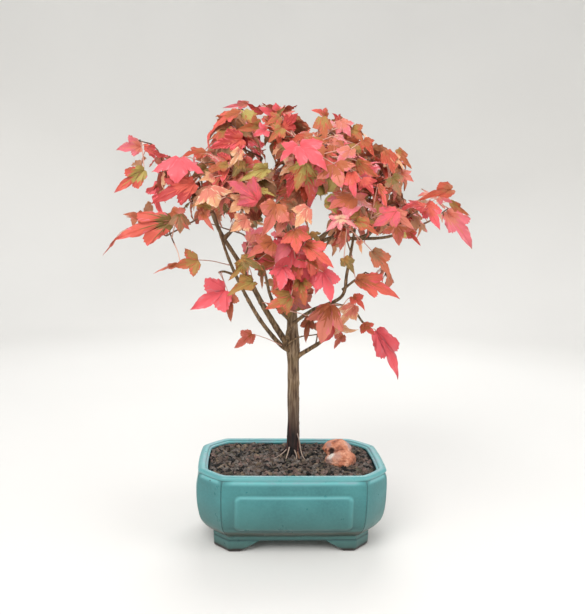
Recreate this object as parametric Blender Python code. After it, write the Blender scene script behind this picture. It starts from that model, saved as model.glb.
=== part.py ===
"""Trident maple bonsai in autumn leaf, standing in its glazed rectangular pot.

The pot stands on four bracket feet and is filled with soil. The trunk stands on the soil
with its root flare. Every bough is one tapering limb, and every mass of leaves keeps to
its own space beyond the tip of its bough. Lengths are in millimetres up to the point
where a mesh is made, which is in metres. The origin is on the table under the pot, +X is
to the right of the front view, +Y to the back and +Z up. Heights in this text count from
a level 84 mm under the rim, and each mesh is raised so that the table is at zero.
"""
import math
import random

import bmesh
import bpy
import numpy as np
from mathutils import Matrix, Vector
from mathutils.geometry import delaunay_2d_cdt

MM = 0.001
GAP = 0.3

# Pot: the rim's top outline is a rectangle with cut and blunted corners, and every level of
# the wall is that outline moved outwards by an offset, a little more at the short ends.
TABLE = -6.0
RIM_TOP = 84.0
RIM_HALF = (103.4, 67.6)
CORNER_CUT = (26.0, 27.0)
CORNER_BLUNT = 3.5
END_SHARE, CUT_SHARE = 1.2, 1.1
POT_MIDDLE = (0.4, 4.2, 0.0)
POT_TURN = -0.7
BAND_BOTTOM = 7.0
OUTER_WALL = (
    (BAND_BOTTOM, -14.2), (12.0, -14.0), (12.8, -13.2), (15.5, -10.6), (20.0, -6.6), (26.0, -2.9),
    (34.0, -1.0), (45.0, 0.0), (60.0, 0.4), (72.0, 0.0), (78.2, -0.6), (79.3, -1.3), (80.2, -0.2),
    (82.8, 0.0), (RIM_TOP, -1.2),
)
INNER_WALL = (
    (18.0, -22.0), (19.5, -19.0), (27.0, -12.0), (36.0, -9.2), (60.0, -7.6), (78.0, -8.4),
    (81.6, -8.8), (82.3, -7.6), (83.2, -7.2), (RIM_TOP, -6.2),
)
PANEL_BOTTOM, PANEL_TOP = 24.5, 63.0
PANEL_LEVELS = (40.0, 50.0)
PANEL_PROUD, PANEL_SUNK = 1.2, 2.0
PANEL_HALF_FRONT, PANEL_HALF_SIDE = 62.7, 29.0
PANEL_CORNER = 5.0
FOOT_TAPER = ((TABLE, -15.6), (-3.5, -15.0), (2.0, -14.6), (8.5, -14.4))
FOOT_THICKNESS = 11.0
FOOT_CURVE = ((22.0, -7.0), (20.2, -5.6), (13.2, -1.2), (6.4, 2.9), (1.9, 6.0), (0.0, BAND_BOTTOM))
SPAN_FRONT, SPAN_SIDE = 36.0, 11.0
DRAIN_RADIUS, DRAIN_PLACE, DRAIN_LENGTH = 6.0, 48.0, 30.0

# Soil and rock. The soil's top has low mounds in a grid of equal triangles, and is level
# round the trunk. Points of the grid that are nearer an edge than the margin are left out.
SOIL_EDGE, SOIL_TOP = 78.2, 79.0
SOIL_LEVEL_RADIUS = 27.0
SOIL_LEVEL_POINTS = 12
SOIL_RISE_LENGTH = 70.0
MOUND_SPACING = 18.0
MOUND_HIGH, MOUND_LOW = 1.7, -0.3
MOUND_MARGIN = 4.5
ROCK_LOBES = (((56.4, -8.0, 84.5), (17.6, 15.5, 11.2)), ((53.5, 4.0, 93.0), (16.3, 12.0, 10.8)))
ROCK_ROUGH = (0.9, 1.06)

# Trunk: its line, and its radius with the flare at the foot and the knuckle at the forks
TRUNK_LINE = (
    (4.0, 24.0, SOIL_TOP + GAP), (3.8, 22.4, 96.0), (3.0, 22.0, 145.0), (1.0, 22.0, 204.0),
    (-1.5, 22.0, 255.0), (-4.4, 22.0, 308.0), (-6.4, 20.0, 372.0),
)
TRUNK_RADII = (
    (0.0, 12.5), (0.012, 10.6), (0.03, 9.2), (0.06, 8.3), (0.15, 7.7), (0.3, 7.3), (0.38, 7.4),
    (0.43, 8.3), (0.48, 7.6), (0.54, 6.2), (0.65, 5.2), (0.8, 4.2), (1.0, 3.0),
)
FLARE_HEIGHT, FLARE_DEPTH, FLARE_LOBES, FLARE_TURN = 14.0, 0.14, 3, 0.6
FOOT_MARKS = (0.0, 0.2, 0.5)

# Surface roots: direction in degrees and reach of each, and how far out and how high, in
# root radii, a root is at its inner points, with its radius at each point
ROOTS = ((-112, 21), (-78, 24), (-52, 22), (-150, 20), (30, 18), (110, 19), (175, 18))
ROOT_RADIUS = 1.3
ROOT_LIFT = 1.1
ROOT_POINTS = ((5.0, 8.0), (9.5, 4.0), (13.5, 1.4))
ROOT_RADII = (1.6, 1.5, ROOT_RADIUS, 0.7)


def height_on_trunk(z):
    """Fraction of the trunk's length at height z."""
    return (z - TRUNK_LINE[0][2]) / (TRUNK_LINE[-1][2] - TRUNK_LINE[0][2])


# Boughs: name, limb that carries it, how far along that limb it starts, the places it
# passes through and ends at, and its radius at the foot and at the tip.
BOUGHS = (
    ("bough_left_high", "trunk", height_on_trunk(206),
     ((-9, 19, 216), (-31, 17, 250), (-60, 13, 301), (-85, 7, 341), (-102, 2, 384)), 4.1, 1.6),
    ("bough_left_low", "trunk", height_on_trunk(203),
     ((-13, 13, 211), (-36, 8, 238), (-56, 0, 272), (-73, -9, 308), (-86, -18, 346)), 2.9, 1.4),
    ("bough_left_droop", "bough_left_low", 0.66, ((-78, -14, 296), (-84, -17, 295)), 1.5, 1.2),
    ("bough_top_left", "bough_left_high", 0.72,
     ((-66, 12, 347), (-51, 13, 386), (-39, 12, 420)), 2.0, 1.4),
    ("leader", "trunk", 1.0, ((-9, 17, 391), (-13, 13, 413), (-15, 12, 424)), 2.8, 1.5),
    ("leader_right", "trunk", height_on_trunk(343),
     ((5, 15, 378), (15, 11, 402), (27, 8, 426)), 2.2, 1.4),
    ("bough_right_high", "trunk", height_on_trunk(285),
     ((17, 30, 310), (41, 30, 345), (68, 24, 380)), 2.8, 1.5),
    ("bough_right_long", "trunk", height_on_trunk(293),
     ((11, 11, 316), (38, 5, 334), (67, 4, 334), (104, 6, 337), (143, 8, 352)), 2.6, 1.4),
    ("bough_right_front", "bough_right_long", 0.55, ((80, -14, 342), (84, -30, 350)), 1.5, 1.2),
    ("bough_right_back", "bough_right_long", 0.6, ((90, 24, 344), (97, 44, 352)), 1.5, 1.2),
    ("bough_cross", "bough_left_high", 0.05,
     ((-4, 6, 233), (19, 0, 253), (50, -11, 270), (55, -17, 298), (61, -22, 344)), 2.5, 1.4),
    ("bough_right_mid", "bough_cross", 0.6, ((60, -20, 287), (68, -24, 294)), 1.4, 1.2),
    ("bough_right_low", "bough_cross", 0.46, ((60, -20, 259), (72, -26, 245), (81, -30, 236)), 1.5, 1.1),
    ("bough_right_stub", "trunk", height_on_trunk(194), ((19, 14, 207), (29, 7, 215), (35, 0, 222)), 3.0, 2.0),
    ("bough_front_left", "trunk", height_on_trunk(236), ((-24, 2, 262), (-36, -40, 300)), 2.2, 1.4),
    ("bough_front", "trunk", height_on_trunk(264), ((-3, -12, 283), (-4, -45, 303)), 2.3, 1.4),
    ("bough_front_right", "trunk", height_on_trunk(300), ((10, -12, 322), (26, -45, 340)), 2.2, 1.4),
    ("bough_front_high", "trunk", height_on_trunk(330), ((-6, -6, 350), (-2, -35, 372)), 2.0, 1.4),
    ("bough_front_left_high", "trunk", height_on_trunk(318), ((-20, -6, 342), (-42, -38, 364)), 2.0, 1.4),
    ("bough_back_left", "trunk", height_on_trunk(252), ((-22, 52, 290), (-50, 85, 325)), 2.6, 1.4),
    ("bough_back_right", "trunk", height_on_trunk(256), ((22, 55, 295), (48, 88, 330)), 2.6, 1.4),
    ("bough_back", "trunk", height_on_trunk(306), ((-3, 50, 338), (0, 85, 365)), 2.2, 1.4),
    ("bough_back_left_high", "trunk", height_on_trunk(324), ((-26, 38, 364), (-50, 62, 400)), 2.1, 1.4),
    ("bough_back_right_high", "trunk", height_on_trunk(334), ((16, 40, 372), (45, 62, 404)), 2.0, 1.4),
    ("bough_far_left_back", "bough_left_high", 0.8, ((-90, 26, 356), (-96, 44, 366)), 1.5, 1.2),
)

# Leaf masses: name, limb and how far along it the stem starts (1 is its tip), the tips
# that the outermost leaves reach, the number of further leaves and the width of the mass.
MASSES = (
    ("leaves_left_high", "bough_left_high", 1.0, ((-195, -10, 413), (-200, 5, 378), (-148, -25, 364)), 7, 34),
    ("leaves_left_low", "bough_left_low", 1.0, ((-201, -50, 315), (-166, -72, 342), (-138, -50, 320)), 5, 32),
    ("leaves_left_droop", "bough_left_droop", 1.0, ((-156, 5, 292), (-113, -48, 255), (-68, -42, 245)), 2, 30),
    ("leaf_left_stalk", "trunk", height_on_trunk(193), ((-67, 0, 206),), 0, 20),
    ("leaves_top_left", "bough_top_left", 1.0, ((-96, -12, 424), (-91, 0, 459)), 6, 32),
    ("leaves_top", "leader", 1.0, ((-38, 10, 480), (-24, -14, 464), (4, -10, 458)), 5, 42),
    ("leaves_top_right", "leader_right", 1.0, ((14, 5, 473), (50, 0, 464), (57, -5, 453)), 5, 32),
    ("leaves_right_high", "bough_right_high", 1.0, ((129, 22, 429), (129, 12, 398), (93, 20, 444)), 6, 34),
    ("leaves_right_far", "bough_right_long", 1.0, ((203, 20, 328), (173, 12, 391), (136, 10, 383)), 4, 30),
    ("leaves_right_front", "bough_right_front", 1.0, ((132, -40, 331), (104, -62, 350)), 5, 32),
    ("leaves_right_back", "bough_right_back", 1.0, ((150, 80, 365),), 7, 34),
    ("leaves_cross_tip", "bough_cross", 1.0, ((74, -55, 372),), 5, 30),
    ("leaves_right_mid", "bough_right_mid", 1.0, ((108, -42, 274), (99, -38, 292)), 2, 24),
    ("leaves_right_low", "bough_right_low", 1.0, ((110, -45, 184),), 2, 20),
    ("leaves_right_stub", "bough_right_stub", 1.0, ((24, -48, 225), (52, -44, 246)), 2, 32),
    ("leaves_front_low", "trunk", height_on_trunk(254), ((-28, -62, 256), (8, -62, 260)), 3, 32),
    ("leaves_front_left", "bough_front_left", 1.0, ((-69, -125, 328),), 6, 34),
    ("leaves_front", "bough_front", 1.0, ((-11, -158, 316),), 6, 34),
    ("leaves_front_right", "bough_front_right", 1.0, ((48, -140, 352),), 6, 36),
    ("leaves_front_high", "bough_front_high", 1.0, ((5, -110, 400),), 7, 36),
    ("leaves_front_left_high", "bough_front_left_high", 1.0, ((-79, -105, 386),), 7, 36),
    ("leaves_back_left", "bough_back_left", 1.0, ((-105, 130, 352),), 7, 38),
    ("leaves_back_right", "bough_back_right", 1.0, ((105, 135, 347),), 7, 38),
    ("leaves_back", "bough_back", 1.0, ((5, 158, 370),), 7, 38),
    ("leaves_back_left_high", "bough_back_left_high", 1.0, ((-100, 90, 428),), 7, 38),
    ("leaves_back_right_high", "bough_back_right_high", 1.0, ((92, 90, 432),), 7, 38),
    ("leaves_back_top", "trunk", 0.96, ((0, 75, 462),), 6, 32),
    ("leaves_back_low", "trunk", height_on_trunk(238), ((10, 112, 292),), 5, 32),
    ("leaves_far_left_back", "bough_far_left_back", 1.0, ((-150, 80, 382),), 6, 34),
)

# A leaf has three pointed lobes: half its outline, from the stalk to the tip, as parts
# of its length, and how far each point drops below the middle of the blade.
LEAF_LENGTH = (36.0, 52.0)
LEAF_HALF = ((0.0, 0.0, 0.0), (0.50, 0.40, -0.10), (0.19, 0.54, -0.01), (0.0, 1.0, -0.14))
LEAF_MIDDLE = 0.36
LEAF_THICKNESS = 0.04
LEAF_TRIES, FILL_TRIES = 60, 400
LEAF_DROOP, LEAF_SWAY, LEAF_FACE_UP = (0.25, 0.8), 0.35, 0.75
FILL_ALONG, FILL_OUT, FILL_BEYOND = (0.25, 0.85), (0.6, 1.35), 10.0
CROWN_MIDDLE = (-2.0, 20.0, 330.0)
STALK_LENGTH = (16.0, 34.0)
STALK_RADII = (0.55, 0.4)
STALK_SUNK = 0.3
ELBOW_RISE = 2.5
TWIG_RADII = (0.9, 0.8)
STEM_RADII = (1.4, 1.0)
TRUNK_SIDES, BOUGH_SIDES, TWIG_SIDES, ROOT_SIDES, DRAIN_SIDES = 10, 7, 3, 4, 12
TRUNK_STEP, BOUGH_STEP = 18.0, 22.0
TAPER_POWER = 0.8
STEM_BEND, STEM_BEND_SHARE, STEM_STEP, STEM_PARTS = 14.0, 0.3, 12.0, 4
STEM_SHARE = 0.62
SPACE_MARGIN = 0.35
SPACE_SLACK = 2.5
SPINE_SKIPS = (0.3, 0.0)
CLOSE_LIMBS = 9.0
NEAR_LIMBS = 260.0
CUT_CLEARANCE = 1.15
LIMB_CLEARANCE = 2.2
LEAF_CLEARANCE = 3.0
CROWN_BOX = ((-203.5, 203.5), (-158.5, 158.5), (165.0, 480.5))


def material(name, colour, roughness, metallic=0.0):
    made = bpy.data.materials.new(name)
    made.use_nodes = True
    shader = made.node_tree.nodes["Principled BSDF"]
    shader.inputs["Base Color"].default_value = (*colour, 1.0)
    shader.inputs["Roughness"].default_value = roughness
    shader.inputs["Metallic"].default_value = metallic
    made.diffuse_color = (*colour, 1.0)
    return made


def make_object(name, bm, finish=None, smooth_angle=None):
    """An object from a bmesh in millimetres; the bmesh is freed."""
    bmesh.ops.translate(bm, vec=(0.0, 0.0, -TABLE), verts=bm.verts)
    bmesh.ops.scale(bm, vec=(MM, MM, MM), verts=bm.verts)
    mesh = bpy.data.meshes.new(name)
    bm.to_mesh(mesh)
    bm.free()
    if smooth_angle is not None:
        mesh.shade_smooth()
        mesh.set_sharp_from_angle(angle=math.radians(smooth_angle))
    made = bpy.data.objects.new(name, mesh)
    if finish is not None:
        mesh.materials.append(finish)
    bpy.context.scene.collection.objects.link(made)
    return made


def loft(bm, rings, capped=True):
    """A skin through rings of equal length, with a flat cap on its foot and one on its end."""
    made = [[bm.verts.new(point) for point in ring] for ring in rings]
    for lower, upper in zip(made, made[1:]):
        for i in range(len(lower)):
            j = (i + 1) % len(lower)
            bm.faces.new((lower[i], lower[j], upper[j], upper[i]))
    bm.faces.new(reversed(made[0]))
    if capped:
        bm.faces.new(made[-1])
        bmesh.ops.recalc_face_normals(bm, faces=bm.faces)
    return made[-1]


def combine(body, pieces, operation="UNION"):
    """Join the pieces to the body, or cut them from it, and keep the largest whole part."""
    tools = bpy.data.collections.new(body.name + "_pieces")
    bpy.context.scene.collection.children.link(tools)
    for piece in pieces:
        for home in list(piece.users_collection):
            home.objects.unlink(piece)
        tools.objects.link(piece)
    step = body.modifiers.new("combine", "BOOLEAN")
    step.operation = operation
    step.operand_type = "COLLECTION"
    step.collection = tools
    for solver in ("EXACT", "MANIFOLD"):
        step.solver = solver
        graph = bpy.context.evaluated_depsgraph_get()
        mesh = bpy.data.meshes.new_from_object(body.evaluated_get(graph))
        bm = bmesh.new()
        bm.from_mesh(mesh)
        bpy.data.meshes.remove(mesh)
        keep_largest(bm)
        whole = len(bm.faces) > 0 and all(edge.is_manifold for edge in bm.edges)
        if whole:
            break
    body.modifiers.remove(step)
    bm.to_mesh(body.data)
    bm.free()
    for piece in list(tools.objects):
        bpy.data.objects.remove(piece)
    bpy.data.collections.remove(tools)
    body["whole"] = whole
    return body


def keep_largest(bm):
    """Drop loose scraps and the skins of sealed hollows."""
    unseen = set(bm.verts)
    groups = []
    while unseen:
        stack = [unseen.pop()]
        group = list(stack)
        while stack:
            for edge in stack.pop().link_edges:
                for vert in edge.verts:
                    if vert in unseen:
                        unseen.remove(vert)
                        group.append(vert)
                        stack.append(vert)
        groups.append(group)
    groups.sort(key=len)
    for group in groups[:-1]:
        bmesh.ops.delete(bm, geom=group, context="VERTS")


def level_on(wall, z):
    """Offset of a wall at height z."""
    for (z0, offset0), (z1, offset1) in zip(wall, wall[1:]):
        if z0 <= z <= z1:
            return offset0 + (offset1 - offset0) * (z - z0) / (z1 - z0)
    return wall[0][1] if z < wall[0][0] else wall[-1][1]


def pot_matrix():
    """From the pot's own axes to the model's."""
    return Matrix.Translation(POT_MIDDLE) @ Matrix.Rotation(math.radians(POT_TURN), 4, "Z")


def outline(offset, z):
    """The pot's plan outline at height z, moved outwards by an offset."""
    half_x, half_y = RIM_HALF[0] + END_SHARE * offset, RIM_HALF[1] + offset
    cut_x, cut_y = CORNER_CUT
    length = math.hypot(cut_x, cut_y)
    normal = (cut_y / length, cut_x / length)
    reach = normal[0] * (RIM_HALF[0] - cut_x) + normal[1] * RIM_HALF[1] + CUT_SHARE * offset
    front = (reach - normal[1] * half_y) / normal[0]
    side = (reach - normal[0] * half_x) / normal[1]
    quarter = [(half_x, side), (front, half_y)]
    corners = quarter + [(-x, y) for x, y in reversed(quarter)]
    corners += [(-x, -y) for x, y in corners]
    points = []
    for i, (x, y) in enumerate(corners):
        corner = Vector((x, y, z))
        for near in (corners[i - 1], corners[(i + 1) % len(corners)]):
            way = (Vector((*near, z)) - corner).normalized()
            points.append(pot_matrix() @ (corner + way * CORNER_BLUNT))
    return points


def prism(name, points, half_depth, place):
    """A flat outline extruded both ways along its normal, put in place by a matrix."""
    curve = bpy.data.curves.new(name, "CURVE")
    curve.dimensions = "2D"
    curve.fill_mode = "BOTH"
    curve.extrude = half_depth * MM
    spline = curve.splines.new("POLY")
    spline.points.add(len(points) - 1)
    for point, (x, y) in zip(spline.points, points):
        point.co = (x * MM, y * MM, 0.0, 1.0)
    spline.use_cyclic_u = True
    flat = bpy.data.objects.new(name + "_outline", curve)
    bpy.context.scene.collection.objects.link(flat)
    graph = bpy.context.evaluated_depsgraph_get()
    mesh = bpy.data.meshes.new_from_object(flat.evaluated_get(graph))
    bm = bmesh.new()
    bm.from_mesh(mesh)
    bmesh.ops.remove_doubles(bm, verts=bm.verts, dist=1e-6)
    bmesh.ops.recalc_face_normals(bm, faces=bm.faces)
    bm.to_mesh(mesh)
    bm.free()
    mesh.transform(Matrix.Translation((0.0, 0.0, -TABLE * MM)) @ place)
    made = bpy.data.objects.new(name, mesh)
    bpy.context.scene.collection.objects.link(made)
    bpy.data.objects.remove(flat)
    return made


def make_pot(finish):
    bm = bmesh.new()
    rings = [outline(offset, z) for z, offset in OUTER_WALL]
    rings += [outline(offset, z) for z, offset in reversed(INNER_WALL)]
    loft(bm, rings)
    pot = make_object("pot", bm, finish, smooth_angle=40)
    bm = bmesh.new()
    loft(bm, [outline(offset, z) for z, offset in FOOT_TAPER])
    feet = make_object("feet", bm)
    bm = bmesh.new()
    loft(bm, [outline(FOOT_TAPER[0][1] - FOOT_THICKNESS, z) for z in (TABLE - 1.0, BAND_BOTTOM)])
    hollow = make_object("foot_hollow", bm)
    spans = []
    place = pot_matrix()
    place.translation *= MM
    for name, half_span, turn in (("span_front", SPAN_FRONT, 0), ("span_side", SPAN_SIDE, 90)):
        side = [(half_span + x, z) for x, z in FOOT_CURVE]
        profile = side + [(-x, z) for x, z in reversed(side)]
        upright = Matrix.Rotation(math.radians(turn), 4, "Z") @ Matrix.Rotation(math.radians(90), 4, "X")
        spans.append(prism(name, profile, 2 * RIM_HALF[0], place @ upright))
    cut_feet(feet, [hollow] + spans)
    panels = []
    for degrees in (0, 180):
        panels.append(make_panel(degrees, RIM_HALF[1], 1.0, PANEL_HALF_FRONT))
    for degrees in (90, 270):
        panels.append(make_panel(degrees, RIM_HALF[0], END_SHARE, PANEL_HALF_SIDE))
    drains = []
    for side in (-1, 1):
        bm = bmesh.new()
        middle = pot_matrix() @ Matrix.Translation((side * DRAIN_PLACE, 0.0, INNER_WALL[0][0]))
        bmesh.ops.create_cone(bm, cap_ends=True, segments=DRAIN_SIDES, radius1=DRAIN_RADIUS,
                              radius2=DRAIN_RADIUS, depth=DRAIN_LENGTH, matrix=middle)
        drains.append(make_object("drain", bm))
    combine(pot, panels + [feet])
    combine(pot, drains, "DIFFERENCE")
    return pot


def cut_feet(feet, cutters):
    """Cut the block of feet into four brackets that stay one mesh."""
    for cutter in cutters:
        step = feet.modifiers.new(cutter.name, "BOOLEAN")
        step.operation = "DIFFERENCE"
        step.object = cutter
    graph = bpy.context.evaluated_depsgraph_get()
    cut = bpy.data.meshes.new_from_object(feet.evaluated_get(graph))
    feet.modifiers.clear()
    feet.data = cut
    for cutter in cutters:
        bpy.data.objects.remove(cutter)


def make_panel(degrees, out, share, half):
    """A raised panel that follows the curve of the wall, with cut corners."""
    heights = [PANEL_BOTTOM, PANEL_BOTTOM + PANEL_CORNER, *PANEL_LEVELS, PANEL_TOP - PANEL_CORNER, PANEL_TOP]
    turn = math.radians(degrees)
    outwards = Vector((math.sin(turn), -math.cos(turn), 0.0))
    along = Vector((math.cos(turn), math.sin(turn), 0.0))
    bm = bmesh.new()
    rings = []
    for z in heights:
        width = half - (PANEL_CORNER if z in (PANEL_BOTTOM, PANEL_TOP) else 0.0)
        face = out + share * level_on(OUTER_WALL, z) + PANEL_PROUD
        back = face - PANEL_PROUD - PANEL_SUNK
        ring = [outwards * depth + along * x for depth, x in
                ((face, -width), (face, width), (back, width), (back, -width))]
        rings.append([pot_matrix() @ (point + Vector((0.0, 0.0, z))) for point in ring])
    loft(bm, rings)
    return make_object("panel", bm)


def mound_points(edge, foot):
    """Places of the soil's mounds and of the dips between them, in from the edge."""
    step = MOUND_SPACING / math.sqrt(3.0)
    rows = int(RIM_HALF[0] / step) + 1
    places = []
    for i in range(-rows, rows + 1):
        for j in range(-2 * rows, 2 * rows + 1):
            place = Vector((i * step + j * step / 2, j * step * math.sqrt(3.0) / 2))
            if (place - foot).length < SOIL_LEVEL_RADIUS + MOUND_MARGIN:
                continue
            room = []
            for one, other in zip(edge, edge[1:] + edge[:1]):
                along = (other - one).normalized()
                room.append(along.x * (place.y - one.y) - along.y * (place.x - one.x))
            if min(room) > MOUND_MARGIN:
                high = (i - j) % 3 == 0
                away = (place - foot).length - SOIL_LEVEL_RADIUS
                rise = (SOIL_TOP - SOIL_EDGE) * max(0.0, 1.0 - away / SOIL_RISE_LENGTH)
                places.append((place, SOIL_EDGE + rise + (MOUND_HIGH if high else MOUND_LOW)))
    return places


def soil_block(bm, lift=0.0):
    """The soil: sides that follow the pot and a top with low mounds, level round the trunk."""
    levels = [z for z, _ in INNER_WALL if z < SOIL_EDGE]
    rings = []
    for z in [levels[0] + GAP] + levels[1:] + [SOIL_EDGE]:
        rings.append(outline(level_on(INNER_WALL, z) - 2 * GAP, z + lift))
    rim = loft(bm, rings, capped=False)
    edge = [vert.co.to_2d() for vert in rim]
    foot = Vector(TRUNK_LINE[0]).to_2d()
    level = []
    for k in range(SOIL_LEVEL_POINTS):
        turn = 2 * math.pi * k / SOIL_LEVEL_POINTS
        level.append((foot + SOIL_LEVEL_RADIUS * Vector((math.cos(turn), math.sin(turn))), SOIL_TOP))
    inner = level + mound_points(edge, foot)
    border = [(k, (k + 1) % len(edge)) for k in range(len(edge))]
    flat = edge + [place for place, _ in inner]
    _, _, faces, origins, _, _ = delaunay_2d_cdt(flat, border, [], 1, 1e-4)
    verts = rim + [bm.verts.new((*place, z + lift)) for place, z in inner]
    for face in faces:
        bm.faces.new([verts[origins[corner][0]] for corner in face])
    bmesh.ops.recalc_face_normals(bm, faces=bm.faces)


def make_soil(finish):
    bm = bmesh.new()
    soil_block(bm)
    return make_object("soil", bm, finish)


def make_rock(finish):
    """Two weathered lobes, seated on the soil."""
    rng = random.Random(11)
    lobes = []
    for place, size in ROCK_LOBES:
        bm = bmesh.new()
        bmesh.ops.create_icosphere(bm, subdivisions=2, radius=1.0)
        for vert in bm.verts:
            vert.co *= rng.uniform(*ROCK_ROUGH)
            vert.co = Vector(place) + Vector([vert.co[i] * size[i] for i in range(3)])
        lobes.append(make_object("rock", bm, finish))
    rock, lobe = lobes
    combine(rock, [lobe])
    bm = bmesh.new()
    soil_block(bm, lift=GAP)
    combine(rock, [make_object("seat", bm)], "DIFFERENCE")
    rock.name = "rock"
    return rock


def smooth_line(points, step):
    """Points about a step apart on a smooth curve through the given points."""
    knots = [Vector(point) for point in points]
    ends = [2 * knots[0] - knots[1]] + knots + [2 * knots[-1] - knots[-2]]
    line = []
    for before, start, end, after in zip(ends, ends[1:], ends[2:], ends[3:]):
        pieces = max(1, round((end - start).length / step))
        for k in range(pieces):
            t = k / pieces
            line.append(0.5 * (2 * start + (end - before) * t
                               + (2 * before - 5 * start + 4 * end - after) * t ** 2
                               + (3 * start - before - 3 * end + after) * t ** 3))
    line.append(knots[-1])
    return line


def fractions(line):
    """How far along the line each of its points is, from 0 to 1."""
    lengths = [0.0]
    for start, end in zip(line, line[1:]):
        lengths.append(lengths[-1] + (end - start).length)
    return [length / lengths[-1] for length in lengths]


def between(table, t):
    """A value read from (place, value) pairs."""
    for (t0, value0), (t1, value1) in zip(table, table[1:]):
        if t <= t1:
            return value0 + (value1 - value0) * (t - t0) / (t1 - t0)
    return table[-1][1]


def tube_rings(line, radii, sides, first_normal=None, first_ahead=None):
    """Rings round a line, each turned as little as possible from the one before."""
    rings = []
    normal = first_normal
    for i, point in enumerate(line):
        ahead = (line[min(i + 1, len(line) - 1)] - line[max(i - 1, 0)]).normalized()
        if i == 0 and first_ahead is not None:
            ahead = first_ahead
        if normal is None:
            normal = ahead.orthogonal()
        normal = (normal - ahead * normal.dot(ahead)).normalized()
        across = ahead.cross(normal)
        ring = []
        for k in range(sides):
            turn = 2 * math.pi * k / sides
            ring.append(point + radii[i] * (normal * math.cos(turn) + across * math.sin(turn)))
        rings.append(ring)
    return rings


class Limb:
    """A tapering limb: its line, its radius at each point, and how its foot faces if that is set."""

    def __init__(self, line, radii, foot_ahead=None):
        self.line = line
        self.radii = radii
        self.foot_ahead = foot_ahead
        self.marks = fractions(line)

    def place(self, t):
        """Point, direction and radius at a fraction of the length."""
        for i in range(len(self.line) - 1):
            if t <= self.marks[i + 1] or i == len(self.line) - 2:
                start, end = self.line[i], self.line[i + 1]
                share = (t - self.marks[i]) / (self.marks[i + 1] - self.marks[i])
                radius = self.radii[i] + (self.radii[i + 1] - self.radii[i]) * share
                return start.lerp(end, share), (end - start).normalized(), radius
        return None


def grow_limbs():
    """The trunk and every bough by name, in the order in which they branch."""
    line = smooth_line(TRUNK_LINE, TRUNK_STEP)
    foot = [line[0] + (line[1] - line[0]) * part for part in FOOT_MARKS]
    line = foot + line[1:]
    limbs = {"trunk": Limb(line, [between(TRUNK_RADII, mark) for mark in fractions(line)])}
    for name, parent, start, places, thick, thin in BOUGHS:
        point, ahead, _ = limbs[parent].place(start)
        if start == 1.0:
            point = point + ahead * GAP
        line = smooth_line([point] + list(places), BOUGH_STEP)
        radii = [thick + (thin - thick) * mark ** TAPER_POWER for mark in fractions(line)]
        limbs[name] = Limb(line, radii, ahead if start == 1.0 else None)
    return limbs


def make_trunk(limb, finish):
    bm = bmesh.new()
    rings = tube_rings(limb.line, limb.radii, TRUNK_SIDES, Vector((1.0, 0.0, 0.0)))
    for ring, middle in zip(rings, limb.line):
        share = max(0.0, 1.0 - (middle.z - limb.line[0].z) / FLARE_HEIGHT)
        for point in ring:
            turn = math.atan2(point.y - middle.y, point.x - middle.x)
            point += (point - middle) * share * FLARE_DEPTH * math.sin(FLARE_LOBES * turn + FLARE_TURN)
    for point in rings[0]:
        point.z = limb.line[0].z
    loft(bm, rings)
    trunk = make_object("trunk", bm, finish, smooth_angle=50)
    foot = limb.line[0]
    roots = []
    for degrees, reach in ROOTS:
        turn = math.radians(degrees)
        out = Vector((math.cos(turn), math.sin(turn), 0.0))
        low = Vector((0.0, 0.0, ROOT_RADIUS * ROOT_LIFT))
        line = [foot + out * away + low * height for away, height in ROOT_POINTS + ((reach, 1.0),)]
        bm = bmesh.new()
        loft(bm, tube_rings(line, ROOT_RADII, ROOT_SIDES))
        roots.append(make_object("root", bm))
    return combine(trunk, roots)


def close_limbs(name, limbs):
    """Earlier limbs that come close enough to a limb to touch it."""
    own = limbs[name]
    found = []
    for other, limb in limbs.items():
        if other == name:
            break
        for point, radius in zip(own.line, own.radii):
            near = min((point - spot).length - thick for spot, thick in zip(limb.line, limb.radii))
            if near < radius + CLOSE_LIMBS:
                found.append(limb)
                break
    return found


def make_bough(name, limbs, finish):
    """One bough, cut clear of the limbs that it grows from or passes at the fork."""
    limb = limbs[name]
    bm = bmesh.new()
    loft(bm, tube_rings(limb.line, limb.radii, BOUGH_SIDES, first_ahead=limb.foot_ahead))
    bough = make_object(name, bm, finish, smooth_angle=50)
    if limb.foot_ahead is not None:
        return bough
    cutters = []
    for other in close_limbs(name, limbs):
        bm = bmesh.new()
        sides = TRUNK_SIDES if other is limbs["trunk"] else BOUGH_SIDES
        normal = Vector((1.0, 0.0, 0.0)) if other is limbs["trunk"] else None
        radii = [radius + CUT_CLEARANCE * GAP for radius in other.radii]
        loft(bm, tube_rings(other.line, radii, sides, normal, other.foot_ahead))
        cutters.append(make_object("clearance", bm))
    return combine(bough, cutters, "DIFFERENCE")


def nearest_on_segments(p0, p1, q0, q1):
    """The closest pair of points of two straight stretches."""
    u, v, w = p1 - p0, q1 - q0, p0 - q0
    a, b, c, d, e = u.dot(u), u.dot(v), v.dot(v), u.dot(w), v.dot(w)
    down = a * c - b * b
    s = min(1.0, max(0.0, (b * e - c * d) / down)) if down > 1e-9 else 0.0
    t = min(1.0, max(0.0, (b * s + e) / c))
    s = min(1.0, max(0.0, (b * t - d) / a))
    return p0 + u * s, q0 + v * t


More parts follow.
